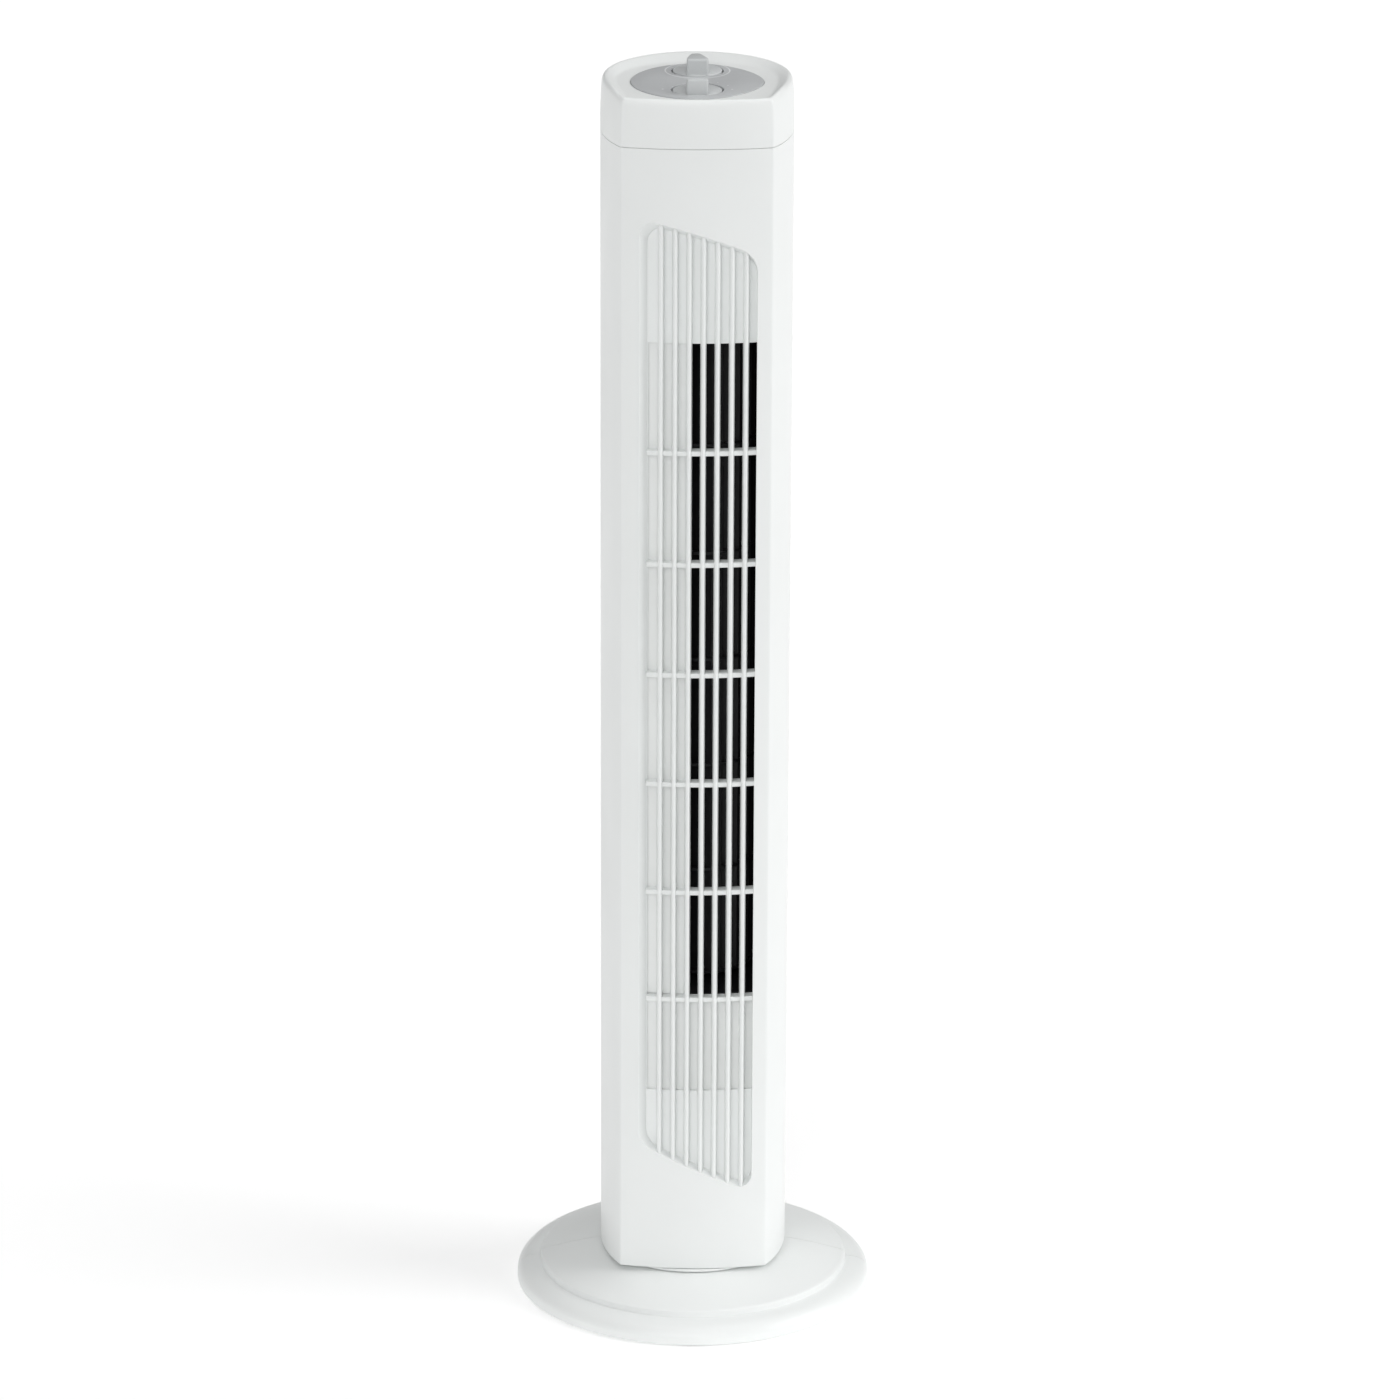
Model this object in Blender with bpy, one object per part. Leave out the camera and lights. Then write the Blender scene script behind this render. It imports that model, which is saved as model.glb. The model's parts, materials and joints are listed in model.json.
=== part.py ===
"""Tower fan: a slim column that swings on a round two-piece base.

Frame: metres, +Z up, origin at the centre of the surface that the feet stand on.
The air outlet and the control deck's straight edge face -Y.
"""

import math

import bmesh
import bpy
from mathutils import Matrix, Vector

MM = 0.001
GAP = 0.3 * MM  # left between pieces that touch
WALL = 2.4 * MM  # moulded shells
RUNNING = 0.4 * MM  # radial clearance of turning pieces

# Column, in plan: two half ellipses of one width, the front one cut by a bowed front face.
BODY_HALF_WIDTH = 57.6 * MM
BODY_REAR_DEPTH = 60.0 * MM
BODY_FRONT_DEPTH = 55.0 * MM
BODY_FRONT_SEMI = BODY_FRONT_DEPTH + 24.3 * MM
FRONT_BOW_RADIUS = 187.0 * MM
FRONT_EDGE_ROUND = 2.0 * MM
SEAM_Y = 4.0 * MM  # where front and rear shells meet

# Column, in height. The motor's part below the first cross bar keeps its height.
DECK_Z = 772.3 * MM
CAP_HEIGHT = 29.3 * MM
RIM_HEIGHT = 2.9 * MM
BODY_BOTTOM = 28.3 * MM
WINDOW_BOTTOM = 147.5 * MM
FIRST_BAR_Z = 205.7 * MM
WINDOW_TO_CAP = 118.5 * MM
BAR_HEIGHT = 3.0 * MM
BAR_COUNT = 6
CAP_SEAM_Z = DECK_Z - CAP_HEIGHT
RIM_Z = DECK_Z + RIM_HEIGHT
WINDOW_TOP = CAP_SEAM_Z - WINDOW_TO_CAP
BAR_PITCH = (WINDOW_TOP - FIRST_BAR_Z) / BAR_COUNT

# Outlet recess in the front face. Its ends are slanted lines, given where they cross x = 0.
FRONT_WALL = 6.0 * MM
RECESS_LEFT = -BODY_HALF_WIDTH + 23.6 * MM
RECESS_RIGHT = BODY_HALF_WIDTH - 21.6 * MM
RECESS_BEVEL = 5.4 * MM
RECESS_TOP_MID = CAP_SEAM_Z - 53.4 * MM
RECESS_TOP_SLOPE = -0.312
RECESS_BOTTOM_MID = 95.8 * MM
RECESS_BOTTOM_SLOPE = -0.47
RECESS_ROUNDS = [13.0 * MM, 7.0 * MM, 14.0 * MM, 8.0 * MM]  # from the bottom left, anticlockwise
FIN_COUNT = 7
FIN_WIDTH = 3.7 * MM
FIN_FIRST = RECESS_LEFT + RECESS_BEVEL + 7.5 * MM
FIN_LAST = RECESS_RIGHT - 6.5 * MM
FIN_PITCH = (FIN_LAST - FIN_FIRST) / (FIN_COUNT - 1)
FIN_SETBACK = 0.5 * MM
GRILLE_PLATE = 2.2 * MM
BAR_SETBACK = 2.6 * MM  # cross bars lie this far behind the face

# Inlet slots in the rear shell.
SLOT_COLUMNS = 11
SLOT_ROWS = 6
SLOT_PITCH = 7.4 * MM
SLOT_WIDTH = 3.6 * MM
SLOT_BAND = 6.0 * MM  # solid band between two rows of slots

# Fan wheel, and the walls that lead the air round it.
WHEEL_X = 4.0 * MM
WHEEL_Y = 6.0 * MM
WHEEL_R = 32.0 * MM
WHEEL_RIM = 7.0 * MM  # radial depth of a blade
WHEEL_BLADES = 16
WHEEL_BAYS = 3
WHEEL_RING = 2.4 * MM
WHEEL_END = 2.0 * MM  # thickness of the end discs
WHEEL_HUB_R = 9.0 * MM
BLADE_THICKNESS = 2.0 * MM
BLADE_LEAN = math.radians(28)
SHAFT_R = 3.0 * MM
PIN_R = 2.5 * MM
DECK_THICKNESS = 2.0 * MM  # decks above the motor and above the wheel
DECK_TO_WHEEL = 5.0 * MM
AIR_SKIN = 1.8 * MM
AIR_GUIDE_EDGE = -3.0 * MM
AIR_GUIDE_CLEARANCE = 4.5 * MM
SCROLL_CLEARANCE = 4.0 * MM
BUSH_R = 8.0 * MM
BUSH_HEIGHT = 5.0 * MM

# Base: a rim, a rounded shoulder, a small step and a low dome.
BASE_R = 110.0 * MM
BASE_RIM_BOTTOM = 1.2 * MM
BASE_RIM_TOP = 5.0 * MM
BASE_SHOULDER_R = BASE_R - 13.0 * MM
BASE_SHOULDER_Z = 13.5 * MM
DOME_R = BASE_R - 14.5 * MM
DOME_EDGE_R = BASE_R - 17.5 * MM
DOME_EDGE_Z = 18.0 * MM
DOME_TOP_Z = 25.8 * MM
FOOT_R = 8.2 * MM
FOOT_RING_R = BASE_R - WALL - FOOT_R - 0.4 * MM
FOOT_HEIGHT = 2.9 * MM
FOOT_COUNT = 6

# Swing bearing: a disc under the column turns on a fixed plate screwed into the base.
SWIVEL_DISC_R = max(BODY_HALF_WIDTH - 0.6 * MM, BODY_REAR_DEPTH - 3.0 * MM)
DOME_TOP_R = SWIVEL_DISC_R + 1.0 * MM
NECK_HOLE_R = SWIVEL_DISC_R - 9.0 * MM
NECK_TOP = DOME_TOP_Z + 0.4 * MM
COLLAR_WALL = 6.0 * MM
COLLAR_TOP = 26.4 * MM
FLANGE_UNDER = DOME_TOP_Z - 2.3 * MM
SWIVEL_PLATE_TOP = FLANGE_UNDER - GAP
SWIVEL_PLATE_LOW = SWIVEL_PLATE_TOP - 3.8 * MM
SWIVEL_PLATE_R = SWIVEL_DISC_R - 2.0 * MM
SWIVEL_DISC_LOW = COLLAR_TOP + GAP
SWIVEL_DISC_TOP = BODY_BOTTOM - GAP
FLOOR_TOP = BODY_BOTTOM + 3.0 * MM
BEARING_TOP = FLOOR_TOP + 4.5 * MM
RETAINING_RING = 2.0 * MM
SPINDLE_TOP = BEARING_TOP + 4.7 * MM

# Swing drive: a crank under its own motor, with a pin in a slot of the fixed plate.
SWING_HALF_ANGLE = math.radians(35)
CRANK_OFFSET = 22.0 * MM  # crank axis behind the swing axis
CRANK_PIN_R = 2.5 * MM
CRANK_ARM_HALF = 3.0 * MM
CRANK_HUB_HALF = 4.2 * MM
CRANK_SHAFT_R = 2.5 * MM
CRANK_LOW = BODY_BOTTOM + 0.7 * MM
CRANK_HIGH = CRANK_LOW + 3.6 * MM
CRANK_R = CRANK_OFFSET * math.sin(SWING_HALF_ANGLE)
CRANK_RATIO = (math.pi / 2 + SWING_HALF_ANGLE) / SWING_HALF_ANGLE
BEARING_OUTER_R = CRANK_OFFSET * math.cos(SWING_HALF_ANGLE) - CRANK_ARM_HALF - 0.6 * MM
BEARING_WALL = 3.0 * MM
SPINDLE_R = BEARING_OUTER_R - BEARING_WALL - RUNNING
SPINDLE_WALL = 4.0 * MM
SWING_MOTOR_R = BODY_REAR_DEPTH - CRANK_OFFSET - 13.5 * MM
SWING_MOTOR_LOW = 44.0 * MM
SWING_MOTOR_HIGH = 59.0 * MM
MOTOR_POST_R = 3.5 * MM
MOTOR_POST_X = SWING_MOTOR_R + 4.5 * MM

# Controls. The plate lies in a pocket of the deck, and the knobs in openings of the plate.
CAP_SKIN = 3.4 * MM  # thickness of the deck
PLATE_FRONT = -BODY_FRONT_DEPTH + 4.0 * MM
PLATE_REAR = BODY_REAR_DEPTH - 25.0 * MM
PLATE_HALF_LENGTH = BODY_HALF_WIDTH - 18.0 * MM
PLATE_THICKNESS = 1.6 * MM
PLATE_SINK = 1.3 * MM
KNOB_R = 14.7 * MM
KNOB_RING = 0.9 * MM
KNOB_HEIGHT = 9.4 * MM
SPEED_KNOB_Y = PLATE_FRONT + KNOB_R + 8.3 * MM
TIMER_KNOB_Y = PLATE_REAR - KNOB_R - 2.8 * MM
SPINDLE_D_R = 3.0 * MM

# Fan motor.
COIL_HALF = 13.0 * MM
COIL_DEPTH = 13.0 * MM
COIL_TO_REAR = 10.3 * MM
STATOR_TO_SIDE = 23.2 * MM
STATOR_HALF = min(
    BODY_REAR_DEPTH - WALL - COIL_TO_REAR - COIL_DEPTH - GAP - WHEEL_Y,
    BODY_HALF_WIDTH - WALL - STATOR_TO_SIDE - WHEEL_X,
)
STATOR_LOW = 162.0 * MM
STATOR_HIGH = 184.0 * MM
ROTOR_R = STATOR_HALF - 13.0 * MM
AIR_GAP = 0.5 * MM
BRACKET_LOW = 152.0 * MM
BRACKET_HIGH = 190.0 * MM
BRACKET_PLATE = 2.0 * MM
BRACKET_LEG_X = STATOR_HALF - 6.0 * MM
BRACKET_LEG_R = 3.0 * MM
BEARING_R = 6.0 * MM
BEARING_HEIGHT = 6.0 * MM

# Cord gland.
GLAND_R = 6.0 * MM
GLAND_BORE_R = 3.4 * MM
GLAND_Z = 58.0 * MM

# Screws, and the posts and wells that hold the two shells together.
SCREW_HEAD_R = 3.2 * MM
SCREW_SHANK_R = 1.6 * MM
SCREW_HEAD = 2.2 * MM
SHELL_SCREW_X = BODY_HALF_WIDTH - 12.6 * MM
SHELL_SCREW_Z = (95.0 * MM, CAP_SEAM_Z - 43.0 * MM)
POST_R = 4.3 * MM
POST_FRONT_Y = SEAM_Y - 10.0 * MM
WELL_R = 5.4 * MM
WELL_FLOOR_Y = SEAM_Y + 6.0 * MM
BASE_SCREW_COUNT = 4
BASE_SCREW_RING = SWIVEL_PLATE_R - 3.5 * MM


def clear_scene():
    for old in list(bpy.data.objects):
        bpy.data.objects.remove(old, do_unlink=True)


def material(name, colour, roughness, metallic=0.0):
    made = bpy.data.materials.new(name)
    made.use_nodes = True
    shader = made.node_tree.nodes["Principled BSDF"]
    shader.inputs["Base Color"].default_value = (*colour, 1)
    shader.inputs["Roughness"].default_value = roughness
    shader.inputs["Metallic"].default_value = metallic
    return made


def empty(name, location):
    """A joint's axis, which its moving pieces hang from."""
    made = bpy.data.objects.new(name, None)
    made.location = location
    bpy.context.collection.objects.link(made)
    return made


def solid(name, mesh_builder, colour=None, parent=None):
    """One object from a finished bmesh. A piece with no colour is a cutter or a block to join."""
    bmesh.ops.recalc_face_normals(mesh_builder, faces=mesh_builder.faces)
    mesh = bpy.data.meshes.new(name)
    mesh_builder.to_mesh(mesh)
    mesh_builder.free()
    made = bpy.data.objects.new(name, mesh)
    bpy.context.collection.objects.link(made)
    if parent:
        made.parent = parent
    if colour:
        mesh.materials.append(colour)
        mesh.shade_smooth()
        mesh.set_sharp_from_angle(angle=math.radians(35))
    else:
        made.hide_render = True
        made.display_type = "WIRE"
    return made


def combine(target, operation, *others):
    for other in others:
        change = target.modifiers.new(other.name, "BOOLEAN")
        change.operation = operation
        change.object = other


def loft(rings, builder=None):
    """Joins rings of equally many points, and closes both ends."""
    builder = builder or bmesh.new()
    rows = [[builder.verts.new(point) for point in ring] for ring in rings]
    for low, high in zip(rows, rows[1:]):
        for i in range(len(low)):
            j = (i + 1) % len(low)
            builder.faces.new((low[i], low[j], high[j], high[i]))
    builder.faces.new(rows[0][::-1])
    builder.faces.new(rows[-1])
    return builder


def prism(outline, low, high, builder=None):
    """A plan outline extruded in height."""
    return loft([[(x, y, z) for x, y in outline] for z in (low, high)], builder)


def circle(x, y, radius, steps=24):
    turn = 2 * math.pi / steps
    return [(x + radius * math.cos(i * turn), y + radius * math.sin(i * turn)) for i in range(steps)]


def box(low, high, builder=None):
    outline = [(low[0], low[1]), (high[0], low[1]), (high[0], high[1]), (low[0], high[1])]
    return prism(outline, low[2], high[2], builder)


def turned(profile, steps=48, x=0.0, y=0.0):
    """A closed (radius, height) profile turned about a vertical axis through (x, y)."""
    builder = bmesh.new()
    rows = []
    for i in range(steps):
        angle = 2 * math.pi * i / steps
        rows.append(
            [builder.verts.new((x + r * math.cos(angle), y + r * math.sin(angle), z)) for r, z in profile]
        )
    for i, row in enumerate(rows):
        following = rows[(i + 1) % steps]
        for k in range(len(profile)):
            m = (k + 1) % len(profile)
            builder.faces.new((row[k], following[k], following[m], row[m]))
    return builder


def tube(inner, outer, low, high, steps=32, x=0.0, y=0.0):
    return turned([(inner, low), (outer, low), (outer, high), (inner, high)], steps, x, y)


def rod(radius, low, high, steps=24, x=0.0, y=0.0, builder=None):
    return prism(circle(x, y, radius, steps), low, high, builder)


def rounded(points, radius, steps=3):
    """A closed outline with each listed corner (point, radius) rounded by an arc."""
    made = []
    count = len(points)
    for i, (corner, own) in enumerate(zip(points, radius)):
        if not own:
            made.append(corner)
            continue
        here = Vector(corner)
        back = (Vector(points[i - 1]) - here).normalized()
        ahead = (Vector(points[(i + 1) % count]) - here).normalized()
        half = math.acos(max(-1, min(1, back.dot(ahead)))) / 2
        reach = own / math.tan(half)
        centre = here + (back + ahead).normalized() * (own / math.sin(half))
        start = here + back * reach - centre
        end = here + ahead * reach - centre
        sweep = start.angle_signed(end)
        for k in range(steps + 1):
            turned_by = Matrix.Rotation(-sweep * k / steps, 2) @ start
            made.append(tuple(centre + turned_by))
    return made


# Plan curves of the column. An inset is measured inward from the outer surface.


def front_y(x, inset=0.0):
    """The bowed front face, or a surface behind it."""
    radius = FRONT_BOW_RADIUS - inset
    return FRONT_BOW_RADIUS - BODY_FRONT_DEPTH - math.sqrt(radius * radius - x * x)


def flank_point(angle, inset=0.0):
    """On the side curve: 0 is the widest point, negative towards the front, positive to the rear."""
    semi = BODY_FRONT_SEMI if angle < 0 else BODY_REAR_DEPTH
    return (BODY_HALF_WIDTH - inset) * math.cos(angle), (semi - inset) * math.sin(angle)


def front_corner_angle(side_inset, front_inset):
    """Where the side curve meets the front face."""
    low, high = -math.pi / 2, 0.0
    for _ in range(50):
        middle = (low + high) / 2
        x, y = flank_point(middle, side_inset)
        if y < front_y(x, front_inset):
            low = middle
        else:
            high = middle
    return high


def right_side(side_inset, front_inset, last_angle, steps=7):
    """Points from the front corner back to an angle on the side curve."""
    first = front_corner_angle(side_inset, front_inset)
    return [flank_point(first + (last_angle - first) * i / steps, side_inset) for i in range(steps + 1)]


def front_points(half_width, inset, steps=10):
    return [
        (x, front_y(x, inset))
        for x in (half_width * (2 * i / steps - 1) for i in range(1, steps))
    ]


def mirrored(points):
    return [(-x, y) for x, y in reversed(points)]


def seam_angle(inset, y=SEAM_Y):
    return math.asin(y / (BODY_REAR_DEPTH - inset))


def front_outline(side_inset, front_inset, seam_y, corner_round):
    """The open front outline, from the left seam round the front to the right seam."""
    side = right_side(side_inset, front_inset, seam_angle(side_inset, seam_y))
    across = front_points(side[0][0], front_inset)
    points = mirrored(side) + across + side
    if not corner_round:
        return points
    corners = (len(side) - 1, len(side) + len(across))
    return rounded(points, [corner_round if i in corners else 0 for i in range(len(points))])


def rear_outline(inset, seam_y, steps=22):
    """The open rear outline, from the right seam round the back to the left seam."""
    first = seam_angle(inset, seam_y)
    return [
        flank_point(first + (math.pi - 2 * first) * i / steps, inset) for i in range(steps + 1)
    ]


def body_outline(side_inset, front_inset, corner_round=0.0):
    """The whole closed plan."""
    front = front_outline(side_inset, front_inset, 0.0, corner_round)
    return front + rear_outline(side_inset, 0.0)[1:-1]


# Outlet recess: a slanted outline, the same for the shell's opening and the fins inside it.


def recess_outline(inset, left_extra=0.0, steps=5):
    """(across, height) of the recess, drawn in by an inset."""
    left = RECESS_LEFT + inset + left_extra
    right = RECESS_RIGHT - inset
    corners = []
    for x, middle, slope, sign in (
        (left, RECESS_BOTTOM_MID, RECESS_BOTTOM_SLOPE, 1),
        (right, RECESS_BOTTOM_MID, RECESS_BOTTOM_SLOPE, 1),
        (right, RECESS_TOP_MID, RECESS_TOP_SLOPE, -1),
        (left, RECESS_TOP_MID, RECESS_TOP_SLOPE, -1),
    ):
        corners.append((x, middle + slope * x + sign * inset * math.hypot(1, slope)))
    return rounded(corners, [r - inset for r in RECESS_ROUNDS], steps)


def recess_block(name, inset):
    """The recess as a block from in front of the face to behind its wall. Its left side slopes in."""
    slope = RECESS_BEVEL / FRONT_WALL
    rings = []
    for y in (-BODY_FRONT_DEPTH - 5 * MM, -BODY_FRONT_DEPTH + 13 * MM):
        drawn = slope * (y - front_y(RECESS_LEFT))
        rings.append([(x, y, z) for x, z in recess_outline(inset, drawn)])
    return solid(name, loft(rings))


clear_scene()
WHITE = material("white_shell", (0.86, 0.87, 0.87), 0.38)
INNER = material("inner_white", (0.78, 0.79, 0.78), 0.5)
CONTROL = material("control_grey", (0.42, 0.43, 0.44), 0.35)
KNOB = material("knob_grey", (0.48, 0.49, 0.50), 0.33)
BLACK = material("black_plastic", (0.02, 0.02, 0.022), 0.5)
SWITCH = material("switch_plastic", (0.10, 0.10, 0.11), 0.5)
STEEL = material("steel", (0.55, 0.55, 0.56), 0.35, 1.0)
LAMINATION = material("lamination_steel", (0.33, 0.33, 0.34), 0.45, 1.0)
ZINC = material("zinc_steel", (0.62, 0.62, 0.60), 0.35, 1.0)
COPPER = material("coil_winding", (0.55, 0.24, 0.10), 0.4)
BRONZE = material("bearing_bronze", (0.48, 0.33, 0.14), 0.4, 1.0)
RUBBER = material("rubber", (0.03, 0.03, 0.03), 0.8)

# Levels that follow from the sizes above.
bar_z = [FIRST_BAR_Z + BAR_PITCH * i for i in range(BAR_COUNT)]
motor_deck_low = FIRST_BAR_Z + 0.5 * MM
motor_deck_high = motor_deck_low + DECK_THICKNESS
upper_deck_low = WINDOW_TOP + 2 * MM
upper_deck_high = upper_deck_low + DECK_THICKNESS
plate_inset = FRONT_WALL + GAP  # front of the grille's plate
lining_inset = plate_inset + GRILLE_PLATE + GAP  # front of what lies behind the grille
inside = WALL + GAP


def slot_half_width():
    """Half the slot that the crank pin slides in, with room for its sideways wander.

    The crank turns at a constant ratio to the swing, so the pin leaves the slot's
    centre line a little between the two ends.
    """
    wander = 0.0
    for i in range(101):
        swing = SWING_HALF_ANGLE * i / 100
        crank = CRANK_RATIO * swing
        pin_x = CRANK_R * math.sin(crank)
        pin_y = CRANK_OFFSET + CRANK_R * math.cos(crank)
        wander = max(wander, abs(pin_x * math.cos(swing) - pin_y * math.sin(swing)))
    return CRANK_PIN_R + wander + GAP


# --- Base ---------------------------------------------------------------------------


def dome_z(radius):
    share = (radius - DOME_TOP_R) / (DOME_EDGE_R - DOME_TOP_R)
    return DOME_TOP_Z - (DOME_TOP_Z - DOME_EDGE_Z) * share**1.25


def base_profile():
    """Closed (radius, height) section of the base's shell."""
    skirt = BASE_R - WALL
    outer = [(BASE_R, BASE_RIM_BOTTOM)]
    for i in range(5):
        angle = math.pi / 2 * i / 4
        radius = BASE_SHOULDER_R + (BASE_R - BASE_SHOULDER_R) * math.cos(angle)
        outer.append((radius, BASE_RIM_TOP + (BASE_SHOULDER_Z - BASE_RIM_TOP) * math.sin(angle)))
    outer += [(DOME_R, BASE_SHOULDER_Z + 2.3 * MM), (DOME_R - 0.9 * MM, DOME_EDGE_Z - 0.8 * MM)]
    for i in range(5):
        radius = DOME_EDGE_R + (DOME_TOP_R - DOME_EDGE_R) * i / 4
        outer.append((radius, dome_z(radius)))
    outer += [(DOME_TOP_R - 4 * MM, NECK_TOP), (NECK_HOLE_R, NECK_TOP)]
    inner = [(NECK_HOLE_R, FLANGE_UNDER), (DOME_TOP_R - 2 * MM, FLANGE_UNDER)]
    for share in (0.145, 0.58, 1.0):
        radius = DOME_TOP_R + (DOME_EDGE_R - DOME_TOP_R) * share
        inner.append((radius, dome_z(radius) - WALL))
    inner += [
        (BASE_SHOULDER_R + MM, BASE_SHOULDER_Z - WALL),
        (BASE_SHOULDER_R + 6.5 * MM, BASE_SHOULDER_Z - 1.75 * WALL),
        (skirt, BASE_RIM_TOP),
        (skirt, BASE_RIM_BOTTOM),
    ]
    return outer + inner


def ring_places(radius, count, first):
    turn = 2 * math.pi / count
    return [
        (radius * math.cos(first + i * turn), radius * math.sin(first + i * turn)) for i in range(count)
    ]


foot_places = ring_places(FOOT_RING_R, FOOT_COUNT, math.radians(-150))
base_screw_places = ring_places(BASE_SCREW_RING, BASE_SCREW_COUNT, math.radians(45))


def make_base():
    bosses = bmesh.new()
    for x, y in foot_places:
        rod(FOOT_R + 1.3 * MM, FOOT_HEIGHT + GAP, 7.2 * MM, 16, x, y, bosses)
    boss_block = solid("base_foot_bosses", bosses)
    holes = bmesh.new()
    for x, y in base_screw_places:
        rod(SCREW_SHANK_R + GAP, FLANGE_UNDER - MM, FLANGE_UNDER + 1.7 * MM, 12, x, y, holes)
    hole_block = solid("base_screw_holes", holes)
    reach = BASE_R + 10 * MM
    for name, low_y, high_y in (("base_front", -reach, -GAP / 2), ("base_rear", GAP / 2, reach)):
        half = solid(name, turned(base_profile(), 36), WHITE)
        side = solid(name + "_side", box((-reach, low_y, -10 * MM), (reach, high_y, 60 * MM)))
        combine(half, "UNION", boss_block)
        combine(half, "DIFFERENCE", hole_block)
        combine(half, "INTERSECT", side)
    for i, (x, y) in enumerate(foot_places):
        foot = [(0.85 * FOOT_R, 0.0), (FOOT_R, 0.6 * MM), (FOOT_R, FOOT_HEIGHT)]
        rings = [[(px, py, z) for px, py in circle(x, y, r, 16)] for r, z in foot]
        solid(f"foot_{i + 1}", loft(rings), RUBBER)
    for i, (x, y) in enumerate(base_screw_places):
        screw = pan_head_screw(x, y, SWIVEL_PLATE_LOW - GAP - SCREW_HEAD, 7.5 * MM)
        solid(f"base_screw_{i + 1}", screw, ZINC)


def pan_head_screw(x, y, head_low, length):
    """A screw pointing up."""
    outline = [
        (0.8 * SCREW_HEAD_R, head_low),
        (SCREW_HEAD_R, head_low + 0.25 * SCREW_HEAD),
        (SCREW_HEAD_R, head_low + SCREW_HEAD),
        (SCREW_SHANK_R, head_low + SCREW_HEAD),
        (SCREW_SHANK_R, head_low + length),
    ]
    return loft([[(px, py, z) for px, py in circle(x, y, r, 8)] for r, z in outline])


def make_swivel_base():
    """The fixed plate of the swing bearing, with its spindle and the crank's slot."""
    collar_r = NECK_HOLE_R - GAP
    bore_r = SPINDLE_R - SPINDLE_WALL
    profile = [
        (bore_r, SWIVEL_PLATE_LOW),
        (SWIVEL_PLATE_R, SWIVEL_PLATE_LOW),
        (SWIVEL_PLATE_R, SWIVEL_PLATE_TOP),
        (collar_r, SWIVEL_PLATE_TOP),
        (collar_r, COLLAR_TOP),
        (collar_r - COLLAR_WALL, COLLAR_TOP),
        (collar_r - COLLAR_WALL, SWIVEL_PLATE_TOP),
        (SPINDLE_R, SWIVEL_PLATE_TOP),
        (SPINDLE_R, SPINDLE_TOP),
        (bore_r, SPINDLE_TOP),
    ]
    plate = solid("swivel_base", turned(profile, 36), INNER)
    half = slot_half_width()
    near = CRANK_OFFSET * math.cos(SWING_HALF_ANGLE) - CRANK_PIN_R - 0.7 * MM
    far = CRANK_OFFSET + CRANK_R + CRANK_PIN_R + MM
    cuts = box((-half, near, SWIVEL_PLATE_LOW - MM), (half, far, COLLAR_TOP + MM))
    for x, y in base_screw_places:
        rod(SCREW_SHANK_R + GAP, SWIVEL_PLATE_LOW - MM, SWIVEL_PLATE_TOP + MM, 12, x, y, cuts)
    combine(plate, "DIFFERENCE", solid("swivel_base_cuts", cuts))
    low = BEARING_TOP + GAP
    ring = tube(SPINDLE_R + GAP, BEARING_OUTER_R + MM, low, low + RETAINING_RING, 24)
    solid("retaining_ring", ring, STEEL)


# --- Column: floor and swing drive --------------------------------------------------


def crank_hole(name):
    """Room for the crank to turn, which leaves the spindle's bearing whole."""
    sweep = CRANK_R + CRANK_ARM_HALF + MM
    low = SWIVEL_PLATE_LOW
    hole = solid(name, rod(sweep, low, CRANK_HIGH + MM, 40, 0.0, CRANK_OFFSET))
    bearing = solid(name + "_keep", rod(BEARING_OUTER_R + 0.1 * MM, low - MM, SPINDLE_TOP, 40))
    combine(hole, "DIFFERENCE", bearing)
    return hole


def make_column_floor():
    bore_r = SPINDLE_R + RUNNING
    ring = tube(bore_r, SWIVEL_DISC_R, SWIVEL_DISC_LOW, SWIVEL_DISC_TOP, 44)
    disc = solid("swivel_disc", ring, WHITE)
    combine(disc, "DIFFERENCE", crank_hole("disc_crank_hole"))
    floor = solid("floor_plate", prism(body_outline(inside, plate_inset), BODY_BOTTOM, FLOOR_TOP), INNER)
    bearing = solid("floor_bearing", rod(BEARING_OUTER_R, BODY_BOTTOM, BEARING_TOP, 40))
    posts = bmesh.new()
    for x in (-MOTOR_POST_X, MOTOR_POST_X):
        rod(MOTOR_POST_R, FLOOR_TOP - MM, SWING_MOTOR_LOW - GAP, 16, x, CRANK_OFFSET, posts)
    bore = solid("floor_bore", rod(bore_r, SWIVEL_PLATE_LOW, SPINDLE_TOP, 32))
    combine(floor, "UNION", bearing, solid("swing_motor_posts", posts))
    combine(floor, "DIFFERENCE", crank_hole("floor_crank_hole"), bore)


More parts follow.
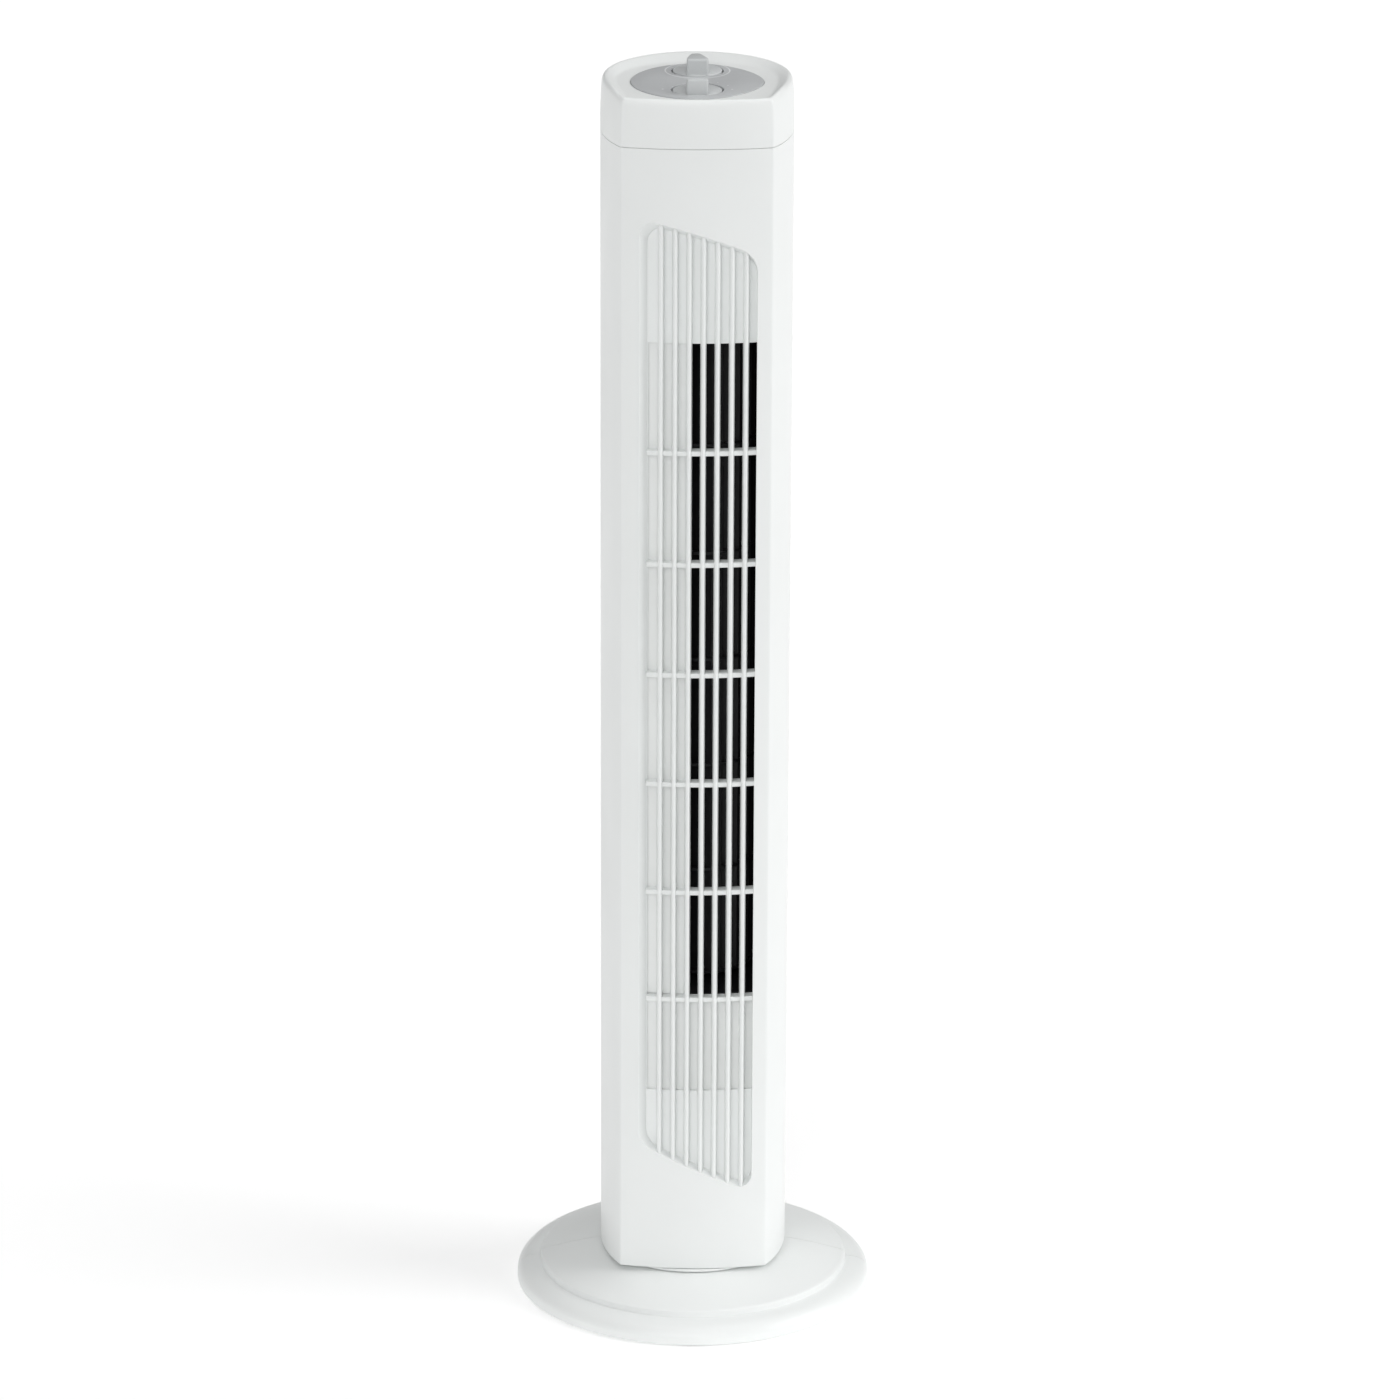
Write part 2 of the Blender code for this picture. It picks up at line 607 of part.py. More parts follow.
def make_swing_drive():
    can = rod(SWING_MOTOR_R, SWING_MOTOR_LOW, SWING_MOTOR_HIGH, 32, 0.0, CRANK_OFFSET)
    motor = solid("swing_motor", can, STEEL)
    reach, half = MOTOR_POST_X + MOTOR_POST_R + MM, MOTOR_POST_R + 0.5 * MM
    ears = box(
        (-reach, CRANK_OFFSET - half, SWING_MOTOR_LOW),
        (reach, CRANK_OFFSET + half, SWING_MOTOR_LOW + MM),
    )
    combine(motor, "UNION", solid("swing_motor_ears", ears))
    axis = empty("crank_axis", (0, CRANK_OFFSET, 0))
    shaft = rod(CRANK_SHAFT_R, CRANK_LOW + MM, SWING_MOTOR_LOW - GAP, 16)
    solid("swing_shaft", shaft, STEEL, axis)
    outline = []
    for centre, half, start in ((CRANK_R, CRANK_ARM_HALF, 0.0), (0.0, CRANK_HUB_HALF, math.pi)):
        for i in range(9):
            angle = start + math.pi * i / 8
            outline.append((half * math.cos(angle), centre + half * math.sin(angle)))
    crank = solid("swing_crank", prism(outline, CRANK_LOW, CRANK_HIGH), SWITCH, axis)
    pin = rod(CRANK_PIN_R, SWIVEL_PLATE_LOW + 0.6 * MM, CRANK_LOW + MM, 16, 0.0, CRANK_R)
    bore = rod(CRANK_SHAFT_R + GAP, CRANK_LOW + MM - GAP, SWING_MOTOR_LOW, 16)
    combine(crank, "UNION", solid("crank_pin_shape", pin, None, axis))
    combine(crank, "DIFFERENCE", solid("crank_bore", bore, None, axis))


# --- Column: shells -----------------------------------------------------------------


def rod_along_y(radius, low_y, high_y, x, z, steps=16, builder=None):
    points = circle(x, z, radius, steps)
    return loft([[(px, y, pz) for px, pz in points] for y in (low_y, high_y)], builder)


def screw_places():
    return [(side * SHELL_SCREW_X, z) for z in SHELL_SCREW_Z for side in (-1, 1)]


def make_front_shell():
    outer = front_outline(0.0, 0.0, SEAM_Y, FRONT_EDGE_ROUND)
    inner = front_outline(WALL, FRONT_WALL, SEAM_Y, 0.0)
    shell = solid("front_shell", prism(outer + inner[::-1], BODY_BOTTOM, CAP_SEAM_Z), WHITE)
    opening = recess_block("recess_opening", 0.0)
    posts = bmesh.new()
    ribs = bmesh.new()
    for x, z in screw_places():
        rod_along_y(POST_R, POST_FRONT_Y, SEAM_Y, x, z, 14, posts)
        ends = sorted((x, math.copysign(BODY_HALF_WIDTH - 0.6 * WALL, x)))
        box((ends[0], POST_FRONT_Y + MM, z - 1.2 * MM), (ends[1], SEAM_Y, z + 1.2 * MM), ribs)
    post_block = solid("front_posts", posts)
    combine(post_block, "UNION", solid("post_ribs", ribs))
    pilots = bmesh.new()
    for x, z in screw_places():
        rod_along_y(SCREW_SHANK_R + GAP, POST_FRONT_Y + 1.5 * MM, SEAM_Y + MM, x, z, 12, pilots)
    combine(shell, "UNION", post_block)
    combine(shell, "DIFFERENCE", opening, solid("front_pilots", pilots))


def make_front_grille():
    """Plate with a window of seven bays, cross bars and upright fins, in one moulding."""
    outline = lining_outline(RECESS_LEFT - 6 * MM, RECESS_RIGHT + 4 * MM, plate_inset, GRILLE_PLATE)
    flange_low = RECESS_BOTTOM_MID - 26 * MM
    flange_high = RECESS_TOP_MID + 18 * MM
    plate = solid("front_grille", prism(outline, flange_low, flange_high), WHITE)
    left = RECESS_LEFT + RECESS_BEVEL
    windows = bmesh.new()
    sills = [WINDOW_BOTTOM] + [z + BAR_HEIGHT for z in bar_z]
    heads = bar_z + [WINDOW_TOP]
    for low, high in zip(sills, heads):
        box((left, -BODY_FRONT_DEPTH, low), (RECESS_RIGHT, -0.3 * BODY_FRONT_DEPTH, high), windows)
    combine(plate, "DIFFERENCE", solid("window_bays", windows))
    bars = bmesh.new()
    for z in bar_z:
        outline = lining_outline(RECESS_LEFT, RECESS_RIGHT, BAR_SETBACK, plate_inset - BAR_SETBACK + MM)
        prism(outline, z, z + BAR_HEIGHT, bars)
    bar_block = solid("cross_bars", bars)
    fins = bmesh.new()
    for i in range(FIN_COUNT):
        prism(fin_outline(FIN_FIRST + FIN_PITCH * i), flange_low, flange_high, fins)
    fin_block = solid("upright_fins", fins)
    reach = recess_block("fin_reach", GAP)
    for block in (bar_block, fin_block):
        combine(block, "INTERSECT", reach)
        combine(plate, "UNION", block)


def lining_outline(left, right, inset, thickness, steps=8):
    """A bowed strip behind the front face, between two places across it."""
    across = [left + (right - left) * i / steps for i in range(steps + 1)]
    near = [(x, front_y(x, inset)) for x in across]
    far = [(x, front_y(x, inset + thickness)) for x in reversed(across)]
    return near + far


def fin_outline(x, steps=3):
    """A blade with a round nose, a little short of the front face."""
    half = FIN_WIDTH / 2
    nose_y = front_y(x, FIN_SETBACK) + half
    points = [
        (x - half * math.cos(math.pi * i / steps), nose_y - half * math.sin(math.pi * i / steps))
        for i in range(steps + 1)
    ]
    root_y = front_y(x, plate_inset + GRILLE_PLATE - 0.2 * MM)
    return points + [(x + half, root_y), (x - half, root_y)]


def make_rear_shell():
    outer = rear_outline(0.0, SEAM_Y + GAP)
    inner = rear_outline(WALL, SEAM_Y + GAP)
    shell = solid("rear_shell", prism(outer + inner[::-1], BODY_BOTTOM, CAP_SEAM_Z), WHITE)
    wells = bmesh.new()
    for x, z in screw_places():
        rod_along_y(WELL_R, SEAM_Y + GAP, BODY_REAR_DEPTH, x, z, 16, wells)
    well_block = solid("screw_wells", wells)
    keep = prism(body_outline(0.4 * MM, MM), BODY_BOTTOM, CAP_SEAM_Z)
    combine(well_block, "INTERSECT", solid("wells_keep", keep))
    combine(shell, "UNION", well_block)
    combine(shell, "DIFFERENCE", solid("well_bores", screw_bores()))
    combine(shell, "DIFFERENCE", solid("inlet_slots", slot_cutters()))
    near, far = BODY_REAR_DEPTH - 10 * MM, BODY_REAR_DEPTH + 10 * MM
    gland_hole = rod_along_y(GLAND_R + GAP, near, far, 0.0, GLAND_Z, 24)
    combine(shell, "DIFFERENCE", solid("gland_hole", gland_hole))


def screw_bores():
    """Stepped screw bores, each a wide mouth down to a well floor and a shank hole beyond."""
    builder = bmesh.new()
    for x, z in screw_places():
        rings = []
        for radius, y in (
            (SCREW_SHANK_R + GAP, SEAM_Y - MM),
            (SCREW_SHANK_R + GAP, WELL_FLOOR_Y),
            (SCREW_HEAD_R + GAP, WELL_FLOOR_Y),
            (SCREW_HEAD_R + GAP, BODY_REAR_DEPTH + 10 * MM),
        ):
            rings.append([(px, y, pz) for px, pz in circle(x, z, radius, 14)])
        loft(rings, builder)
    return builder


def slot_cutters():
    """Upright inlet slots, in rows that match the front's bays, each square to the shell."""
    builder = bmesh.new()
    middle = (SLOT_COLUMNS - 1) / 2
    for column in range(SLOT_COLUMNS):
        angle = math.pi / 2 + arc_angle((column - middle) * SLOT_PITCH)
        x, y = flank_point(angle)
        outward = Vector((math.cos(angle) / BODY_HALF_WIDTH, math.sin(angle) / BODY_REAR_DEPTH))
        outward.normalize()
        along = Vector((-outward.y, outward.x))
        corners = []
        for depth, side in ((5, -1), (5, 1), (-7, 1), (-7, -1)):
            point = Vector((x, y)) + outward * (depth * MM) + along * (side * SLOT_WIDTH / 2)
            corners.append(tuple(point))
        for row in range(SLOT_ROWS):
            high = WINDOW_TOP - BAR_PITCH * row
            prism(corners, high - BAR_PITCH + SLOT_BAND, high, builder)
    return builder


def arc_angle(distance):
    """The rear ellipse's angle at a distance along it from the back's middle."""
    angle, walked, step = 0.0, 0.0, math.radians(0.25)
    while walked < abs(distance):
        walked += step * math.hypot(
            BODY_HALF_WIDTH * math.cos(angle), BODY_REAR_DEPTH * math.sin(angle)
        )
        angle += step
    return math.copysign(angle, distance)


def make_shell_screws():
    for i, (x, z) in enumerate(screw_places()):
        rings = []
        head_y = WELL_FLOOR_Y + GAP
        for radius, y in (
            (SCREW_SHANK_R, SEAM_Y - 7 * MM),
            (SCREW_SHANK_R, head_y),
            (SCREW_HEAD_R, head_y),
            (SCREW_HEAD_R, head_y + 0.75 * SCREW_HEAD),
            (0.8 * SCREW_HEAD_R, head_y + SCREW_HEAD),
        ):
            rings.append([(px, y, pz) for px, pz in circle(x, z, radius, 8)])
        solid(f"shell_screw_{i + 1}", loft(rings), ZINC)


def make_cord_gland():
    """A bushed hole where the mains lead enters."""
    back = BODY_REAR_DEPTH
    rings = []
    for radius, y in (
        (GLAND_BORE_R, back - 8 * MM),
        (GLAND_R, back - 8 * MM),
        (GLAND_R, back + GAP),
        (GLAND_R + 2.4 * MM, back + GAP),
        (GLAND_R + 2.0 * MM, back + 2.2 * MM),
        (GLAND_R - 0.6 * MM, back + 3.4 * MM),
        (GLAND_BORE_R, back + 3.4 * MM),
    ):
        rings.append([(px, y, pz) for px, pz in circle(0.0, GLAND_Z, radius, 18)])
    builder = bmesh.new()
    rows = [[builder.verts.new(point) for point in ring] for ring in rings]
    for low, high in zip(rows, rows[1:] + rows[:1]):
        for i in range(len(low)):
            j = (i + 1) % len(low)
            builder.faces.new((low[i], low[j], high[j], high[i]))
    solid("cord_gland", builder, SWITCH)


# --- Column: top --------------------------------------------------------------------


def behind_front(y):
    """0 along the front edge, rising smoothly to 1 a little way behind it."""
    share = min(1.0, max(0.0, (y + BODY_FRONT_DEPTH - 4 * MM) / (22 * MM)))
    return share * share * (3 - 2 * share)


def cap_ring(inset, height, lift=0.0):
    """The body's outline drawn in, raised by a lift everywhere but along the front edge."""
    outline = body_outline(inset, inset, max(0.2 * MM, FRONT_EDGE_ROUND - inset))
    return [(x, y, height + lift * behind_front(y)) for x, y in outline]


def deck_ring(side, rear, front, height, lift=0.0):
    """The body's outline drawn in by different amounts at the sides, the rear and the front."""
    points = []
    for x, y in body_outline(0.0, 0.0, FRONT_EDGE_ROUND):
        if y > 0:
            drawn = side
            moved = y * (1 - rear / BODY_REAR_DEPTH)
        else:
            share = -y / BODY_FRONT_DEPTH
            drawn = side + (front - side) * share * share
            moved = y + front * share
        z = height + lift * behind_front(y)
        points.append((x * (1 - drawn / BODY_HALF_WIDTH), moved, z))
    return points


def make_top_cap():
    low = CAP_SEAM_Z + GAP
    edge = DECK_Z + 0.3 * MM  # top of the front edge
    lift = RIM_Z - edge
    rings = [
        [(x, y, DECK_Z - CAP_SKIN) for x, y, _ in cap_ring(WALL, low)],
        cap_ring(WALL, low),
        cap_ring(0.0, low),
        cap_ring(0.0, low + 12 * MM),
        cap_ring(0.6 * MM, edge - 4.5 * MM, 0.8 * lift),
        cap_ring(1.2 * MM, edge - 1.8 * MM, 0.9 * lift),
        cap_ring(2.2 * MM, edge - 0.5 * MM, lift),
        cap_ring(3.6 * MM, edge, lift),
        deck_ring(7.0 * MM, 11 * MM, 3.8 * MM, DECK_Z + 0.1 * MM, 0.55 * lift),
        deck_ring(9.6 * MM, 19 * MM, 4.4 * MM, DECK_Z),
    ]
    cap = solid("top_cap", loft(rings), WHITE)
    cuts = prism(control_outline(GAP), DECK_Z - PLATE_SINK, DECK_Z + 20 * MM)
    combine(cap, "DIFFERENCE", solid("control_pocket", cuts))
    holes = bmesh.new()
    for y in (SPEED_KNOB_Y, TIMER_KNOB_Y):
        rod(SPINDLE_D_R + RUNNING, DECK_Z - 10 * MM, DECK_Z + 5 * MM, 16, 0.0, y, holes)
    combine(cap, "DIFFERENCE", solid("spindle_holes", holes))


def control_outline(grow=0.0, steps=44):
    """A lens with a rounder left end and a more pointed right end."""
    half_depth = (PLATE_REAR - PLATE_FRONT) / 2 + grow
    points = []
    for i in range(steps):
        angle = 2 * math.pi * i / steps
        c, s = math.cos(angle), math.sin(angle)
        power = 1.75 if c > 0 else 1.95
        x = (PLATE_HALF_LENGTH + grow) * math.copysign(abs(c) ** (2 / power), c)
        y = half_depth * math.copysign(abs(s) ** (2 / power), s)
        points.append((x, (PLATE_REAR + PLATE_FRONT) / 2 + y))
    return points


def make_controls():
    low = DECK_Z - PLATE_SINK + GAP
    high = low + PLATE_THICKNESS
    rings = []
    for shrink, z in ((0.0, low), (0.0, high - 0.3 * MM), (-0.4 * MM, high)):
        rings.append([(x, y, z) for x, y in control_outline(shrink)])
    plate = solid("control_plate", loft(rings), CONTROL)
    holes = bmesh.new()
    for y in (SPEED_KNOB_Y, TIMER_KNOB_Y):
        rod(KNOB_R + KNOB_RING, low - MM, high + MM, 28, 0.0, y, holes)
    combine(plate, "DIFFERENCE", solid("knob_openings", holes))
    under = DECK_Z - CAP_SKIN - GAP
    make_switch("speed_switch", SPEED_KNOB_Y, 15 * MM, 15 * MM, under - 20 * MM, under)
    make_switch("timer_unit", TIMER_KNOB_Y, 20 * MM, 16 * MM, under - 27 * MM, under)
    make_knob("speed", SPEED_KNOB_Y, -0.2 * MM, 5.0 * MM)
    make_knob("timer", TIMER_KNOB_Y, 0.6 * MM, 0.6 * MM)


def rounded_box(x, y, half_x, half_y, radius):
    corners = [(x + sx * half_x, y + sy * half_y) for sx, sy in ((-1, -1), (1, -1), (1, 1), (-1, 1))]
    return rounded(corners, [radius] * 4, 2)


def make_switch(name, y, half_x, half_y, low, high):
    solid(name, prism(rounded_box(0.0, y, half_x, half_y, 3 * MM), low, high), SWITCH)


def make_knob(function, y, raised, tail_drop):
    """A disc with a grip bar across it, which tapers and falls towards its tail."""
    disc_low = DECK_Z - PLATE_SINK + GAP
    disc_high = disc_low + PLATE_THICKNESS + raised
    axis = empty(function + "_axis", (0, y, 0))
    rings = []
    for radius, z in ((KNOB_R, disc_low), (KNOB_R, disc_high - 0.5 * MM), (KNOB_R - 0.6 * MM, disc_high)):
        rings.append([(px, py, z) for px, py in circle(0, 0, radius, 28)])
    knob = solid(function + "_knob", loft(rings), KNOB, axis)
    grip = grip_shape(disc_high - 0.4 * MM, disc_high + KNOB_HEIGHT, tail_drop)
    combine(knob, "UNION", solid(function + "_grip", grip, None, axis))
    bore = rod(SPINDLE_D_R + GAP, disc_low - MM, disc_high + 4 * MM, 16)
    combine(knob, "DIFFERENCE", solid(function + "_bore", bore, None, axis))
    spindle = rod(SPINDLE_D_R, DECK_Z - CAP_SKIN, disc_high + 3.6 * MM, 16)
    solid(function + "_spindle", spindle, ZINC, axis)


def grip_shape(low, high, tail_drop):
    """The head is the grip's broad end, at the front; the tail is its narrow end."""
    half = 0.43 * KNOB_R
    head_y, tail_y = -0.9 * KNOB_R, 0.61 * KNOB_R
    plan = [
        (-half, head_y),
        (half, head_y),
        (half, 0.45 * head_y),
        (0.42 * half, tail_y),
        (-0.58 * half, tail_y),
        (-half, 0.0),
    ]
    plan = rounded(plan, [1.2 * MM] * 6, 2)

    def top_at(y, shrink):
        return high - shrink - tail_drop * (y - head_y) / (tail_y - head_y)

    bottom = [(x * 1.04, y * 1.02, low) for x, y in plan]
    edge = [(x, y, top_at(y, 0.7 * MM)) for x, y in plan]
    top = [(x * 0.9, y * 0.94, top_at(y, 0.0)) for x, y in plan]
    return loft([bottom, edge, top])


# --- Column: air path and fan motor -------------------------------------------------


def make_motor_cover():
    """The wall behind the lowest bay, and the deck above the motor."""
    outline = lining_outline(RECESS_LEFT - 4 * MM, RECESS_RIGHT + 3 * MM, lining_inset, 2 * MM)
    wall = solid("motor_cover", prism(outline, WINDOW_BOTTOM - 5 * MM, motor_deck_high - 0.5 * MM), INNER)
    deck = prism(body_outline(inside, lining_inset), motor_deck_low, motor_deck_high)
    low, high = motor_deck_low - MM, motor_deck_high + MM
    combine(wall, "UNION", solid("motor_deck", deck))
    combine(wall, "DIFFERENCE", solid("shaft_hole", rod(2 * SHAFT_R, low, high, 20, WHEEL_X, WHEEL_Y)))


def make_upper_deck():
    cup_top = upper_deck_high + BUSH_HEIGHT
    bush_low = upper_deck_low + MM
    wheel_axis = (WHEEL_X, WHEEL_Y)
    outline = body_outline(inside, lining_inset)
    deck = solid("upper_deck", prism(outline, upper_deck_low, upper_deck_high), INNER)
    cup = rod(BUSH_R + 2.5 * MM, upper_deck_low, cup_top, 22, *wheel_axis)
    seat = rod(BUSH_R + GAP, bush_low, cup_top + MM, 22, *wheel_axis)
    pin_hole = rod(PIN_R + MM, upper_deck_low - MM, cup_top, 16, *wheel_axis)
    combine(deck, "UNION", solid("bush_cup", cup))
    combine(deck, "DIFFERENCE", solid("bush_seat", seat), solid("pin_hole", pin_hole))
    low = bush_low + GAP
    solid("wheel_bush", tube(PIN_R + RUNNING, BUSH_R, low, low + BUSH_HEIGHT, 18, *wheel_axis), RUBBER)


def room_from_wheel(angle):
    """How far from the wheel's axis a wall may stand before it meets the shells."""
    low, high = 0.0, BODY_FRONT_SEMI
    for _ in range(40):
        middle = (low + high) / 2
        x, y = WHEEL_X + middle * math.cos(angle), WHEEL_Y + middle * math.sin(angle)
        semi = (BODY_FRONT_SEMI if y < 0 else BODY_REAR_DEPTH) - inside
        if math.hypot(x / (BODY_HALF_WIDTH - inside), y / semi) < 1:
            low = middle
        else:
            high = middle
    return low


def around_wheel(first, last, start, end, steps, spare=0.0):
    """Points about the wheel's axis between two angles, on a radius that closes from first to last."""
    points = []
    for i in range(steps + 1):
        share = i / steps
        angle = start + (end - start) * share
        reach = last + (first - last) * (1 - share) ** 1.5
        reach = min(reach, room_from_wheel(angle) - spare)
        points.append((WHEEL_X + reach * math.cos(angle), WHEEL_Y + reach * math.sin(angle)))
    return points


def make_air_guide():
    """The tongue: covers the outlet's left part, then turns in and follows the wheel."""
    inner_r = WHEEL_R + AIR_GUIDE_CLEARANCE
    outer_r = inner_r + AIR_SKIN
    edge = AIR_GUIDE_EDGE
    edge_y = front_y(edge, lining_inset)
    left, right = RECESS_LEFT - 4 * MM, edge - 3 * MM
    across = [left + (right - left) * i / 8 for i in range(9)]
    near = [(x, front_y(x, lining_inset)) for x in across]
    nose = [(edge - 0.9 * MM, edge_y + 0.9 * MM), (edge, edge_y + 3 * MM)]
    tip, turn_in = math.radians(214), math.radians(260)
    inner = around_wheel(inner_r, inner_r, turn_in, tip, 8)
    outer = around_wheel(outer_r, outer_r, tip, turn_in - math.radians(4), 8)
    far = [(x, front_y(x, lining_inset + AIR_SKIN)) for x in reversed(across[:-1])]
    outline = near + nose + inner + outer + far
    solid("air_guide", prism(outline, motor_deck_high + GAP, upper_deck_low - GAP), INNER)


def make_scroll_wall():
    """The spiral wall from the outlet's right edge round behind the wheel."""
    start_x = RECESS_RIGHT + 2 * MM
    start_y = front_y(start_x, lining_inset) + 2 * MM
    reach = math.hypot(start_x - WHEEL_X, start_y - WHEEL_Y)
    start = math.atan2(start_y - WHEEL_Y, start_x - WHEEL_X)
    end_reach = WHEEL_R + SCROLL_CLEARANCE
    end = math.radians(72)
    inner = around_wheel(reach, end_reach, start, end, 16, AIR_SKIN)
    outer = around_wheel(reach + AIR_SKIN, end_reach + AIR_SKIN, start, end, 16)[::-1]
    wall = prism(inner + outer, motor_deck_high + GAP, upper_deck_low - GAP)
    solid("scroll_wall", wall, BLACK)


def make_wheel():
    """A slotted drum: upright blades between rings, with a hub below and a pin above."""
    axis = empty("wheel_axis", (WHEEL_X, WHEEL_Y, 0))
    low = motor_deck_high + DECK_TO_WHEEL
    high = upper_deck_low - DECK_TO_WHEEL
    inner_r = WHEEL_R - WHEEL_RIM
    boss_r, boss = PIN_R + 4.5 * MM, 8 * MM
    hub = 10 * MM
    profile = [
        (SHAFT_R + GAP, low - WHEEL_END),
        (WHEEL_HUB_R, low - WHEEL_END),
        (WHEEL_HUB_R, low),
        (WHEEL_R, low),
        (WHEEL_R, high),
        (PIN_R + GAP, high),
        (PIN_R + GAP, high - boss),
        (boss_r, high - boss),
        (boss_r, high - WHEEL_END),
        (inner_r, high - WHEEL_END),
        (inner_r, low + WHEEL_END),
        (WHEEL_HUB_R, low + WHEEL_END),
        (WHEEL_HUB_R, low + hub),
        (SHAFT_R + GAP, low + hub),
    ]
    wheel = solid("blower_wheel", turned(profile, WHEEL_BLADES * 2), BLACK, axis)
    slots = bmesh.new()
    bay = (high - low - 2 * WHEEL_END - WHEEL_RING * (WHEEL_BAYS - 1)) / WHEEL_BAYS
    for column in range(WHEEL_BLADES):
        outline = blade_gap(2 * math.pi * column / WHEEL_BLADES)
        for row in range(WHEEL_BAYS):
            start = low + WHEEL_END + row * (bay + WHEEL_RING)
            prism(outline, start, start + bay, slots)
    combine(wheel, "DIFFERENCE", solid("blade_gaps", slots, None, axis))
    solid("wheel_pin", rod(PIN_R, high - boss + MM, upper_deck_high + 4 * MM, 16), STEEL, axis)
    solid("motor_shaft", rod(SHAFT_R, BRACKET_LOW - 6 * MM, low + hub - 0.5 * MM, 20), STEEL, axis)
    rotor = tube(SHAFT_R + GAP, ROTOR_R, STATOR_LOW - MM, STATOR_HIGH + MM, 24)
    solid("motor_rotor", rotor, LAMINATION, axis)


def blade_gap(angle):
    """Plan of the space between two leaning blades, past both faces of the drum."""
    step = 2 * math.pi / WHEEL_BLADES
    outer, inner = WHEEL_R + MM, WHEEL_R - WHEEL_RIM - MM
    outer_edge = BLADE_THICKNESS / outer
    inner_edge = BLADE_THICKNESS / inner
    corners = []
    for radius, turn in (
        (outer, angle + outer_edge),
        (outer, angle + step - outer_edge * 0.2),
        (inner, angle + step - inner_edge * 0.2 - BLADE_LEAN),
        (inner, angle + inner_edge - BLADE_LEAN),
    ):
        corners.append((radius * math.cos(turn), radius * math.sin(turn)))
    return corners


def make_motor():
    core = rounded_box(WHEEL_X, WHEEL_Y, STATOR_HALF, STATOR_HALF, 4 * MM)
    stator = solid("motor_stator", prism(core, STATOR_LOW, STATOR_HIGH), LAMINATION)
    bore = rod(ROTOR_R + AIR_GAP, STATOR_LOW - MM, STATOR_HIGH + MM, 28, WHEEL_X, WHEEL_Y)
    combine(stator, "DIFFERENCE", solid("rotor_bore", bore))
    coil_y = WHEEL_Y + STATOR_HALF + GAP + COIL_DEPTH / 2
    coil = rounded_box(WHEEL_X, coil_y, COIL_HALF, COIL_DEPTH / 2, 3 * MM)
    solid("motor_coil", prism(coil, STATOR_LOW - 3 * MM, STATOR_HIGH + 3 * MM), COPPER)
    make_bracket("upper", BRACKET_HIGH, STATOR_HIGH + GAP, motor_deck_low - GAP)
    make_bracket("lower", BRACKET_LOW, BRACKET_LOW, STATOR_LOW - GAP)


def make_bracket(place, plate_low, leg_low, leg_high):
    """A strap across the motor with a bearing in its middle, held by two legs."""
    name = "motor_bracket_" + place
    wheel_axis = (WHEEL_X, WHEEL_Y)
    half_x, half_y = BRACKET_LEG_X + BRACKET_LEG_R + MM, 10 * MM
    strap = box(
        (WHEEL_X - half_x, WHEEL_Y - half_y, plate_low),
        (WHEEL_X + half_x, WHEEL_Y + half_y, plate_low + BRACKET_PLATE),
    )
    bracket = solid(name, strap, ZINC)
    legs = bmesh.new()
    for side in (-1, 1):
        rod(BRACKET_LEG_R, leg_low, leg_high, 8, WHEEL_X + side * BRACKET_LEG_X, WHEEL_Y, legs)
    seat_low = plate_low - BRACKET_PLATE
    seat_top = seat_low + BEARING_HEIGHT + MM
    boss = rod(BEARING_R + 2 * MM, seat_low - MM, seat_top, 18, *wheel_axis)
    seat = rod(BEARING_R + GAP, seat_low, seat_top + MM, 18, *wheel_axis)
    through = rod(SHAFT_R + 2 * GAP, seat_low - 4 * MM, plate_low, 16, *wheel_axis)
    combine(bracket, "UNION", solid(name + "_legs", legs), solid(name + "_boss", boss))
    combine(bracket, "DIFFERENCE", solid(name + "_seat", seat), solid(name + "_through", through))
    low = seat_low + GAP
    bearing = tube(SHAFT_R + RUNNING, BEARING_R, low, low + BEARING_HEIGHT, 18, *wheel_axis)
    solid("motor_bearing_" + place, bearing, BRONZE)


make_base()
make_swivel_base()
make_column_floor()
make_swing_drive()
make_front_shell()
make_front_grille()
make_rear_shell()
make_shell_screws()
make_cord_gland()
make_top_cap()
make_controls()
make_motor_cover()
make_upper_deck()
make_air_guide()
make_scroll_wall()
make_motor()
make_wheel()
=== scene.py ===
"""Looks for the tower fan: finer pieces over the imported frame, with their materials, light and camera.

Metres, +Z up, the front towards -Y. The column stands on the round base and swings about the Z axis.
"""

import json
import math

import bmesh
import bpy
from mathutils import Matrix, Vector


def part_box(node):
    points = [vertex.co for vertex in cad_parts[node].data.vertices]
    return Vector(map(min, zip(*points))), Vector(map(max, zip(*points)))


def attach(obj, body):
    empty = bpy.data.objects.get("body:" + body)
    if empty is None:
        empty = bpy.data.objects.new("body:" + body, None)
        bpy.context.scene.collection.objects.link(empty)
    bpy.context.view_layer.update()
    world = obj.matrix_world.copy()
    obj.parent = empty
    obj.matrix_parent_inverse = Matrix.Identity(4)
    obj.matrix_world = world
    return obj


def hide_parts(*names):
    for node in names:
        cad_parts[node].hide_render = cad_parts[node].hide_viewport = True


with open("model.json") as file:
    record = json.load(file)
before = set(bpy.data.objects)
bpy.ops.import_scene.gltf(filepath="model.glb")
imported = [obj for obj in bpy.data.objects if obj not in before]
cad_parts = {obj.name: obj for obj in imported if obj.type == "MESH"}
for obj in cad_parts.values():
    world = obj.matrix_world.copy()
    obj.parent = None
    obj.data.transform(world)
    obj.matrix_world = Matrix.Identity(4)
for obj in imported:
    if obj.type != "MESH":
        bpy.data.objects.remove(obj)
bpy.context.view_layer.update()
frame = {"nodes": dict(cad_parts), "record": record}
MM = 0.001


def box_of(node):
    """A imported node's lowest and highest corners, rounded to a micrometre."""
    return [tuple(round(value, 6) for value in corner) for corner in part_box(node)]


def middle(node):
    low, high = box_of(node)
    return [(a + b) / 2 for a, b in zip(low, high)]


